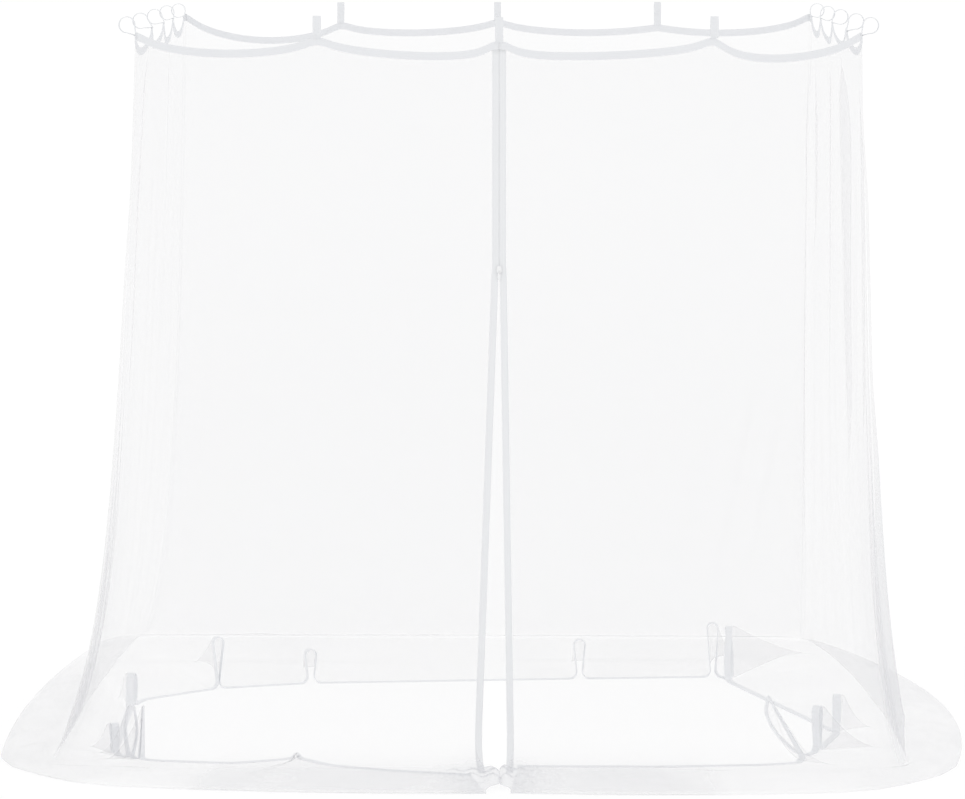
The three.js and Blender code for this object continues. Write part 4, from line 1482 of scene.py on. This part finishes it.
@dataclass(frozen=True)
class TapeFinish:
    """Matt woven tape with two rows of sewing. Its roughness has a least value and what the tone adds."""

    name: str = "woven tape"
    wide: float = TAPE_WIDE
    pale: Colour = (0.84, 0.85, 0.867, 1.0)
    deep: Colour = (0.78, 0.79, 0.812, 1.0)
    thread: Colour = (0.88, 0.885, 0.895, 1.0)
    pitch: float = 0.0014
    inset: float = 0.003
    stitch: float = 0.0042
    weave_share: float = 0.45
    tone_share: float = 0.55
    tone_scale: float = 9.0
    rough: tuple[float, float] = (0.78, 0.15)
    gloss: float = 0.25
    thread_press: float = 0.8
    bump: tuple[float, float] = (0.15, 0.0005)

    def material(self, effects: Effects) -> bpy.types.Material:
        """Ribs of the weave in colour and height, with the thread of the sewing pressed in.

        Args:
            effects: The shared node groups.

        Returns:
            The material.
        """
        material, sketch, shader = new_material(self.name)
        uv = sketch.node("ShaderNodeUVMap", uv_map="cloth").outputs[0]
        weave = sketch.group(effects.weave, Place=uv, Pitch_along=self.pitch, Pitch_across=self.pitch)
        sewing = sketch.group(
            effects.sewing, Place=uv, Tape_width=self.wide, Inset=self.inset, Stitch=self.stitch,
        )
        tone = effects.tone(sketch, self.tone_scale)
        toned = sketch.math("MULTIPLY", tone, self.tone_share)
        share = sketch.math("MULTIPLY_ADD", weave, self.weave_share, toned)
        cloth = sketch.blend(share, self.deep, self.pale)
        sketch.feed(shader.inputs["Base Color"], sketch.blend(sewing, cloth, self.thread))
        least, added = self.rough
        sketch.feed(shader.inputs["Roughness"], sketch.math("MULTIPLY_ADD", tone, added, least))
        sketch.feed(shader.inputs["Specular IOR Level"], self.gloss)
        sketch.bump(shader, sketch.math("MULTIPLY_ADD", sewing, -self.thread_press, weave), *self.bump)
        return material


@dataclass(frozen=True)
class CoilFinish:
    """Nylon coil of the zip: pale, smooth and a little glossy."""

    pale: Colour = (0.95, 0.953, 0.957, 1.0)
    deep: Colour = (0.91, 0.913, 0.92, 1.0)
    tone_scale: float = 40.0
    rough: tuple[float, float] = (0.3, 0.2)

    def material(self, effects: Effects) -> bpy.types.Material:
        """An even pale nylon with slight changes of tone and gloss.

        Args:
            effects: The shared node groups.

        Returns:
            The material.
        """
        material, sketch, shader = new_material("nylon coil")
        tone = effects.tone(sketch, self.tone_scale)
        least, added = self.rough
        sketch.feed(shader.inputs["Base Color"], sketch.blend(tone, self.deep, self.pale))
        sketch.feed(shader.inputs["Roughness"], sketch.math("MULTIPLY_ADD", tone, added, least))
        return material


@dataclass(frozen=True)
class MetalFinish:
    """Cast and tumbled metal of the slider."""

    bright: Colour = (0.96, 0.962, 0.965, 1.0)
    dull: Colour = (0.84, 0.845, 0.855, 1.0)
    tone_scale: float = 160.0
    grain_scale: float = 1400.0
    rough: tuple[float, float] = (0.2, 0.25)
    metallic: float = 0.7
    bump: tuple[float, float] = (0.1, 0.0001)

    def material(self, effects: Effects) -> bpy.types.Material:
        """Bright metal with duller patches and a fine grain.

        Args:
            effects: The shared node groups.

        Returns:
            The material.
        """
        material, sketch, shader = new_material("cast metal")
        tone = effects.tone(sketch, self.tone_scale)
        least, added = self.rough
        sketch.feed(shader.inputs["Base Color"], sketch.blend(tone, self.dull, self.bright))
        sketch.feed(shader.inputs["Roughness"], sketch.math("MULTIPLY_ADD", tone, added, least))
        sketch.feed(shader.inputs["Metallic"], self.metallic)
        sketch.bump(shader, effects.tone(sketch, self.grain_scale), *self.bump)
        return material


@dataclass(frozen=True)
class FloorFinish:
    """Plain pale studio floor, lit from below like a light table so that hardly a shadow shows on it."""

    pale: Colour = (0.25, 0.25, 0.25, 1.0)
    deep: Colour = (0.24, 0.24, 0.24, 1.0)
    tone_scale: float = 0.6
    rough: float = 0.9
    glow: float = 0.766

    def material(self, effects: Effects) -> bpy.types.Material:
        """An even pale floor with a glow of its own.

        Args:
            effects: The shared node groups.

        Returns:
            The material.
        """
        material, sketch, shader = new_material("pale floor")
        tone = effects.tone(sketch, self.tone_scale)
        sketch.feed(shader.inputs["Base Color"], sketch.blend(tone, self.deep, self.pale))
        sketch.feed(shader.inputs["Roughness"], self.rough)
        sketch.feed(shader.inputs["Specular IOR Level"], 0.0)
        sketch.feed(shader.inputs["Emission Color"], WHITE)
        sketch.feed(shader.inputs["Emission Strength"], self.glow)
        return material


# The hem tape is the binding's tape painted lighter: painted light that makes up for the shade the net's
# layers cast on it.
HEM_TAPE_PAINTED_LIGHTER = TapeFinish("hem tape", pale=(0.880, 0.889, 0.904, 1.0), deep=(0.820, 0.830, 0.850, 1.0))
ZIP_TAPE = TapeFinish(
    "zip tape", ZIP_WIDE, (0.848, 0.857, 0.871, 1.0), (0.798, 0.807, 0.823, 1.0), pitch=0.0011, inset=0.006,
)


@dataclass
class Finishes:
    """The materials of all pieces."""

    effects: Effects = field(default_factory=Effects)

    def __post_init__(self) -> None:
        """Makes each material once."""
        self.net = NetFinish().material(self.effects)
        self.tape = TapeFinish().material(self.effects)
        # The hem tape's finish is painted lighter than the binding's, as painted light against the net's
        # shade.
        self.hem_tape = HEM_TAPE_PAINTED_LIGHTER.material(self.effects)
        self.zip_tape = ZIP_TAPE.material(self.effects)
        self.coil = CoilFinish().material(self.effects)
        self.metal = MetalFinish().material(self.effects)
        self.floor = FloorFinish().material(self.effects)


# Sub-assemblies


@dataclass
class NetWall:
    """One net with its binding along the top and its tape along the hem."""

    number: int
    form: HungNet
    finishes: Finishes
    column_step: float = 0.013
    top_step: float = 0.008
    hem_step: float = 0.02
    rows: Rows = field(default_factory=Rows)

    def build(self) -> dict[str, bpy.types.Object]:
        """Builds the net and its two tapes.

        Returns:
            The pieces by the names of the nodes that they stand for.
        """
        plan = WALLS[self.number]
        net, top, hem = self.build_net(plan), self.build_top(plan), self.build_hem(plan)
        return {f"net_{plan.name}": net, f"top_tape_{plan.name}": top, f"hem_tape_{plan.name}": hem}

    def build_net(self, plan: WallPlan) -> bpy.types.Object:
        """The sheer sheet itself, its UV in metres round the net and down the cloth.

        Args:
            plan: The wall's plan.

        Returns:
            The piece.
        """
        p = self.form.columns(self.number, self.column_step)
        drape = self.form.drape(self.number, p, self.rows)
        steps = np.linalg.norm(np.diff(drape.points, axis=0), axis=2)
        down = np.concatenate([np.zeros((1, len(p))), np.cumsum(steps, axis=0)])
        uv = np.stack(np.broadcast_arrays(p[None], down), axis=2)
        patch = grid_patch(drape.points, uv)
        patch.values["fullness"] = drape.fullness
        return make_piece(f"net_{plan.name}", patch, [self.finishes.net])

    def build_top(self, plan: WallPlan) -> bpy.types.Object:
        """The binding: a tape's section carried along the scalloped top edge, to the middle of the door.

        Args:
            plan: The wall's plan.

        Returns:
            The piece.
        """
        start, end = self.form.ats[self.number], self.form.ats[self.number + 1]
        if POSTS[self.number].door:
            start = GAP / 2
        if POSTS[self.number + 1].door:
            end = AROUND - GAP / 2
        p = np.linspace(start, end, int((end - start) / self.top_step))
        top, foot = self.form.wall(p, np.array([0.0, TAPE_WIDE / (HANG - LAY_MID)]))
        patch = tape_patch(top, foot, self.face(top, foot), TAPE_THICK)
        return make_piece(f"top_tape_{plan.name}", patch, [self.finishes.tape])

    def build_hem(self, plan: WallPlan) -> bpy.types.Object:
        """The hem tape: a tape's section carried along the hem and up and over its rucks.

        Args:
            plan: The wall's plan.

        Returns:
            The piece.
        """
        start, end = self.form.ats[self.number], self.form.ats[self.number + 1]
        p = self.form.columns(self.number, self.hem_step)
        hem = self.form.hems[self.number].at((p - start) / (end - start), self.form.fold_place(p))
        height = FLOOR_MID + hem.up
        edge = self.form.lift(hem.place, height)
        behind = self.form.lift(hem.place + hem.outward * TAPE_WIDE, height)
        patch = tape_patch(behind, edge, self.face(behind, edge), TAPE_THICK)
        return make_piece(f"hem_tape_{plan.name}", patch, [self.finishes.hem_tape])

    @staticmethod
    def face(first: Array, second: Array) -> Array:
        """Ways that a tape faces: across it times along it."""
        return unit(np.cross(second - first, np.gradient((first + second) / 2, axis=0)))


@dataclass
class HangingLoops:
    """The tape loops along one side of the top edge."""

    side: Side
    rows: tuple[LoopRow, ...]
    form: HungNet
    finishes: Finishes
    wide: float = 0.045
    thick: float = 0.0016
    tail: float = 0.003
    tail_gap: float = 0.001
    tail_steps: int = 6
    opening: float = 0.70
    ring_steps: int = 60

    def build(self) -> None:
        """Builds each loop of the side."""
        for number, row in enumerate(self.rows, 1):
            self.build_loop(number, row)

    def outline(self, row: LoopRow) -> Array:
        """The tape's way in the plane across the wall, outwards and up.

        From the binding's outer face it goes up, round a ring that stands out over the binding, and down the
        inner face.

        Args:
            row: The loop's lean, reach and girth.

        Returns:
            Places outwards and up along the tape.
        """
        radius = (self.wide - self.thick) / 2
        lean = math.radians(row.lean_deg)
        centre = np.array([math.sin(lean), math.cos(lean)]) * row.reach
        root = math.atan2(-centre[1], -centre[0])
        a = root + np.linspace(self.opening, 2 * np.pi - self.opening, self.ring_steps)
        ring = centre + radius * np.stack([row.girth * np.cos(a), np.sin(a)], axis=1)
        off = np.full(self.tail_steps, (TAPE_THICK + self.thick) / 2)
        tail = np.stack([off, np.linspace(-self.tail, -self.tail_gap, self.tail_steps)], axis=1)
        return np.concatenate([tail, ring, tail[::-1] * (-1, 1)])

    def build_loop(self, number: int, row: LoopRow) -> bpy.types.Object:
        """One loop: a tape's section carried along the outline.

        Args:
            number: The loop's number along its side.
            row: Its place and form.

        Returns:
            The piece.
        """
        outwards = np.array([*self.side.value, 0.0])
        along_wall = np.array([-outwards[1], outwards[0], 0.0])
        foot = self.form.wall(np.array([row.at]), np.array([0.0]))[0, 0]
        line = self.outline(row)
        if row.at >= AROUND:
            foot[0] = self.form.middle[0]
        points = foot + line[:, :1] * outwards + line[:, 1:] * np.array([0.0, 0.0, 1.0])
        half = along_wall * TAPE_WIDE / 2
        first, second = points - half, points + half
        normals = unit(np.cross(second - first, np.gradient(points, axis=0)))
        patch = tape_patch(first, second, normals, self.thick)
        name = f"loop_{self.side.name.lower()}_{number}"
        return make_piece(name, patch, [self.finishes.tape])


class Hand(Enum):
    """The two halves of the zip."""

    RIGHT = "right"
    LEFT = "left"


@dataclass
class ZipHalf:
    """One half of the door's zip: a woven tape with a nylon coil inside along its inner edge."""

    hand: Hand
    form: HungNet
    finishes: Finishes
    thick: float = 0.0014
    overlap: float = 0.0005
    tail_height: float = 0.0042
    tail_share: float = 0.37
    wall_steps: int = 120
    bend_steps: int = 20
    tail_steps: int = 24
    coil_pitch: float = 0.0018
    coil_across: float = 0.0014
    coil_through: float = 0.0006
    wire: float = 0.00088
    wire_sides: int = 5
    steps_a_turn: int = 8

    def path(self, offset: float) -> Array:
        """Points down the zip, its tail tucked under the lay.

        Args:
            offset: Distance from the middle of the door.

        Returns:
            Points from the top binding to the end of the tail.
        """
        p = offset if self.hand is Hand.RIGHT else AROUND - offset
        column = np.array([p])
        t = np.linspace(TAPE_WIDE / (HANG - LAY_MID), WALL_END, self.wall_steps)
        walls = self.form.wall(column, t)[:, 0]
        knee, foot = self.form.wall(column, np.array([WALL_END, 1.0]))[:, 0]
        edge = np.array([np.clip(p, self.form.ats[0], self.form.ats[-1])])
        fold = self.form.fold_place(edge)
        fold[0, 0] += p - edge[0]
        brow = self.form.lift(fold + np.array([0.0, FOLD_RADIUS]), self.tail_height)[0]
        foot[2] = self.tail_height
        bend = bend_curve(knee, foot, brow, np.linspace(0, 1, self.bend_steps)[1:, None])
        k = np.linspace(LAY_START, self.tail_share, self.tail_steps)[1:, None]
        return np.concatenate([walls, bend, mix(foot, brow, k)])

    def build(self) -> bpy.types.Object:
        """Builds the tape and its coil as one piece.

        Returns:
            The piece.
        """
        inner, outer = self.path(GAP / 2), self.path(EDGE + self.overlap)
        across = unit(outer - inner)
        sign = 1 if self.hand is Hand.RIGHT else -1
        normals = unit(np.cross(np.gradient(inner, axis=0), across)) * sign
        tape = tape_patch(inner, outer, normals, self.thick, flip=self.hand is Hand.RIGHT)
        coil = self.coil(inner + across * self.coil_across - normals * self.thick, across, normals)
        slots = [self.finishes.zip_tape, self.finishes.coil]
        piece = make_piece(f"zip_half_{self.hand.value}", join_patches([tape, coil]), slots)
        kinds = np.zeros(len(piece.data.polygons), dtype=np.int32)
        kinds[sum(len(group) for group in tape.faces) :] = 1
        piece.data.polygons.foreach_set("material_index", kinds)
        return piece

    def coil(self, line: Array, across: Array, normals: Array) -> Patch:
        """The coil: a round wire carried along a flattened helix about the tape's inner edge.

        Args:
            line: Points of the helix's middle line.
            across: Ways across the tape at the points.
            normals: Ways that the tape faces there.

        Returns:
            A closed patch.
        """
        along = run_length(line)
        s = np.linspace(0, along[-1], int(along[-1] / self.coil_pitch * self.steps_a_turn))
        centre, side, face = (
            np.stack([np.interp(s, along, ways[:, axis]) for axis in range(3)], axis=1)
            for ways in (line, across, normals)
        )
        lead = 0.0 if self.hand is Hand.RIGHT else np.pi
        angle = (2 * np.pi * s / self.coil_pitch + lead)[:, None]
        outwards = side * np.cos(angle) * self.coil_across + face * np.sin(angle) * self.coil_through
        first = unit(outwards)
        second = np.cross(unit(np.gradient(centre + outwards, axis=0)), first)
        a = 2 * np.pi * np.arange(self.wire_sides) / self.wire_sides
        ring = first[:, None] * np.cos(a)[None, :, None] + second[:, None] * np.sin(a)[None, :, None]
        points = (centre + outwards)[:, None] + self.wire * ring
        round_wire = np.linspace(0, 2 * np.pi * self.wire, self.wire_sides + 1)
        uv = np.stack(np.broadcast_arrays(s[:, None], round_wire[None]), axis=2)
        return grid_patch(points, uv, closed=True, caps=True, flip=True)


@dataclass
class ZipSlider:
    """The slider with its bridge, and the pull tab that hangs from it.

    Half widths are at the top and the foot, and spans are heights above the slider's foot. The tab's eye has
    half its width and half its height. The tab's rings go from the eye over the back to the rim and over the
    front to the eye again, each with its share of the way to the rim and to the front.
    """

    finishes: Finishes
    bevel: float = 0.0005
    bevel_steps: int = 4
    steps: int = 48
    wing_half: tuple[float, float] = (0.0055, 0.0075)
    wing_thick: float = 0.0016
    half_room: float = 0.0026
    post_half: tuple[float, float] = (0.0009, 0.0016)
    post_span: tuple[float, float] = (0.0004, 0.006)
    post_sunk: float = 0.001
    bridge_span: tuple[float, float] = (0.003, 0.011)
    bridge_half: float = 0.0013
    bridge_thick: float = 0.0016
    bridge_sunk: float = 0.0004
    bridge_steps: int = 20
    tab_half: float = 0.0045
    tab_taper: tuple[float, float] = (0.92, 0.2)
    eye_half: tuple[float, float] = (0.0022, 0.0045)
    eye_rim: float = 0.0024
    tab_rings: tuple[tuple[float, float], ...] = (
        (0.0, 0.3), (0.12, 0.0), (0.88, 0.0), (1.0, 0.35), (1.0, 0.65), (0.88, 1.0), (0.12, 1.0), (0.0, 0.7),
    )

    def build(self) -> None:
        """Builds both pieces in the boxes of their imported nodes."""
        self.build_body()
        self.build_tab()

    def turn(self) -> Array:
        """Angles once round an outline."""
        return 2 * np.pi * np.arange(self.steps) / self.steps

    def plate(self, outline: Array, back: float, front: float) -> Patch:
        """A plate across the door with rounded rims: rings of its outline, drawn in at both faces.

        Args:
            outline: Points x, z round the plate.
            back: Depth y of its back.
            front: Depth y of its front.

        Returns:
            A closed patch.
        """
        centre = outline.mean(axis=0)
        reach = np.linalg.norm(outline - centre, axis=1, keepdims=True)
        a = np.linspace(0, np.pi / 2, self.bevel_steps)
        inset = self.bevel * (1 - np.sin(a))
        depth = self.bevel * (1 - np.cos(a))
        insets = np.concatenate([inset, inset[::-1]])
        depths = np.concatenate([back - depth, front + depth[::-1]])
        rings = centre + (outline - centre)[None] * (1 - insets[:, None, None] / reach[None])
        y = np.broadcast_to(depths[:, None], rings.shape[:2])
        points = np.stack([rings[..., 0], y, rings[..., 1]], axis=2)
        uv = np.zeros((len(depths), len(outline) + 1, 2))
        return grid_patch(points, uv, closed=True, caps=True, flip=True)

    def shield(self, half: tuple[float, float], low: float, high: float, x: float) -> Array:
        """Outline of a wing: a squared-off ellipse, wider below its middle than above.

        Args:
            half: Half widths at the top and the foot.
            low: Height of its foot.
            high: Height of its top.
            x: Its middle across.

        Returns:
            Points x, z round the wing.
        """
        a = self.turn()
        z = mix(low, high, 0.5 + 0.5 * squared(np.sin(a), 0.55))
        wide = mix(half[1], half[0], smooth(z, mix(low, high, 0.3), high))
        return np.stack([x + wide * squared(np.cos(a), 0.5), z], axis=1)

    def build_body(self) -> bpy.types.Object:
        """Two wings over the coils, a post between them and a bridge in front.

        Returns:
            The piece.
        """
        low, high = (np.array(corner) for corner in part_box("zip_slider"))
        x = (low[0] + high[0]) / 2
        back = high[1]
        front = back - 2 * self.half_room - 2 * self.wing_thick
        wing = self.shield(self.wing_half, low[2], high[2], x)
        post = self.shield(self.post_half, *(low[2] + rise for rise in self.post_span), x)
        parts = [
            self.plate(wing, back, back - self.wing_thick),
            self.plate(wing, front + self.wing_thick, front),
            self.plate(post, back - self.post_sunk, front + self.post_sunk),
            self.bridge(x, front, low[1], *(low[2] + rise for rise in self.bridge_span)),
        ]
        return make_piece("zip_slider", join_patches(parts), [self.finishes.metal])

    def bridge(self, x: float, y_root: float, y_crown: float, low: float, high: float) -> Patch:
        """The bridge: a flat bar's section carried round half a squared-off ellipse in front of the wing.

        Args:
            x: Its middle across.
            y_root: Depth of the wing that it stands on.
            y_crown: Depth of its crown.
            low: Height of its foot.
            high: Height of its top.

        Returns:
            A closed patch.
        """
        a = np.linspace(-np.pi / 2, np.pi / 2, self.bridge_steps)
        half, mid = (high - low) / 2 - self.bridge_thick / 2, (high + low) / 2
        z = mid + half * squared(np.sin(a), 0.5)
        y = y_root + self.bridge_sunk + (y_crown - y_root + self.bridge_sunk) * np.cos(a) ** 0.5
        line = np.stack([np.full_like(a, x), y, z], axis=1)
        side = np.array([self.bridge_half, 0.0, 0.0])
        normals = unit(np.cross(np.broadcast_to(side, line.shape), np.gradient(line, axis=0)))
        return tape_patch(line - side, line + side, normals, self.bridge_thick)

    def build_tab(self) -> bpy.types.Object:
        """The pull tab: a flat drop with an eye, as one ring-shaped surface from the eye to the rim and back.

        Returns:
            The piece.
        """
        low, high = (np.array(corner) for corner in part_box("zip_puller"))
        x = (low[0] + high[0]) / 2
        z_mid, half_tall = (low[2] + high[2]) / 2, (high[2] - low[2]) / 2
        a = self.turn()
        up = squared(np.sin(a), 0.7)
        full, taper = self.tab_taper
        half = self.tab_half * (full - taper * smooth(up, 0.0, 1.0))
        rim = np.stack([x + half * squared(np.cos(a), 0.6), z_mid + half_tall * up], axis=1)
        eye_wide, eye_tall = self.eye_half
        eye_mid = high[2] - self.eye_rim - eye_tall
        eye = np.stack([x + eye_wide * np.cos(a), eye_mid + eye_tall * np.sin(a)], axis=1)
        to_rim, to_front = np.array(self.tab_rings).T
        rings = mix(eye[:, None], rim[:, None], to_rim[None, :, None])
        y = np.broadcast_to(mix(high[1], low[1], to_front), rings.shape[:2])
        points = np.stack([rings[..., 0], y, rings[..., 1]], axis=2)
        uv = np.zeros((self.steps + 1, points.shape[1] + 1, 2))
        patch = grid_patch(np.concatenate([points, points[:1]]), uv, closed=True)
        patch = self.close_rows(patch, self.steps * points.shape[1])
        return make_piece("zip_puller", patch, [self.finishes.metal])

    @staticmethod
    def close_rows(patch: Patch, count: int) -> Patch:
        """Joins a grid's repeated last row to its first.

        Args:
            patch: The grid.
            count: Points before the repeated row.

        Returns:
            The patch without the repeated row.
        """
        faces = [np.where(face >= count, face - count, face) for face in patch.faces]
        return Patch(patch.points[:count], faces, patch.uvs, patch.values)


@dataclass
class Studio:
    """Floor, light and the camera."""

    middle: Array
    finishes: Finishes
    eye: tuple[float, float, float] = (-0.0035, -12.844, 2.3686)
    pitch_deg: float = 6.5365
    yaw_deg: float = 0.202
    focal_px: float = 4349.4
    picture_wide_px: int = 965
    sensor_mm: float = 36.0
    clip_end: float = 400.0
    floor_half: float = 150.0
    sky: float = 1.0
    clear_bounces: int = 48
    bounces: int = 16
    matt_bounces: int = 12

    def build(self) -> None:
        """Sets up the stage."""
        self.build_floor()
        self.build_light()
        self.build_camera()

    def build_floor(self) -> None:
        """A wide flat floor just under the net."""
        h = self.floor_half
        corners = [(-h, -h, 0.0), (h, -h, 0.0), (h, h, 0.0), (-h, h, 0.0)]
        mesh = bpy.data.meshes.new("studio_floor")
        mesh.from_pydata(corners, [], [(0, 1, 2, 3)])
        mesh.materials.append(self.finishes.floor)
        floor = bpy.data.objects.new("studio_floor", mesh)
        bpy.context.scene.collection.objects.link(floor)

    def build_light(self) -> None:
        """An even white surround, as in a white studio cove."""
        scene = bpy.context.scene
        scene.world = bpy.data.worlds.new("white cove")
        scene.world.use_nodes = True
        sky = scene.world.node_tree.nodes["Background"]
        sky.inputs["Color"].default_value = WHITE
        sky.inputs["Strength"].default_value = self.sky
        scene.view_settings.view_transform = "Standard"
        scene.view_settings.look = "None"
        scene.cycles.transparent_max_bounces = self.clear_bounces
        scene.cycles.max_bounces = self.bounces
        scene.cycles.diffuse_bounces = self.matt_bounces

    def build_camera(self) -> None:
        """A long lens in front of the door, above the top edge, looking down a little."""
        camera = bpy.data.cameras.new("camera")
        camera.sensor_width = self.sensor_mm
        camera.lens = self.focal_px / self.picture_wide_px * self.sensor_mm
        camera.clip_end = self.clip_end
        holder = bpy.data.objects.new("camera", camera)
        bpy.context.scene.collection.objects.link(holder)
        holder.location = self.middle + np.array(self.eye)
        holder.rotation_euler = (math.radians(90 - self.pitch_deg), 0.0, math.radians(self.yaw_deg))
        bpy.context.scene.camera = holder


def room_middle() -> Array:
    """Middle of the square that the loops span, on the floor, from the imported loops.

    Returns:
        The point.
    """

    def centre(node: str, axis: int) -> float:
        """Middle of a node's box along one axis."""
        low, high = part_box(node)
        return (low[axis] + high[axis]) / 2

    x = (centre("loop_left_3", 0) + centre("loop_right_3", 0)) / 2
    y = (centre("loop_front_2", 1) + centre("loop_back_2", 1)) / 2
    return np.array([x, y, 0.0])


def main() -> None:
    """Builds the net piece by piece, then the studio round it."""
    logging.basicConfig(level=logging.INFO, format="%(name)s: %(message)s")
    finishes = Finishes()
    form = HungNet(room_middle())
    for number in range(len(WALLS)):
        NetWall(number, form, finishes).build()
    for side, rows in LOOPS.items():
        HangingLoops(side, rows, form, finishes).build()
    for hand in Hand:
        ZipHalf(hand, form, finishes).build()
    ZipSlider(finishes).build()
    Studio(form.middle, finishes).build()
    bpy.context.view_layer.update()


if __name__ == "__main__":
    main()
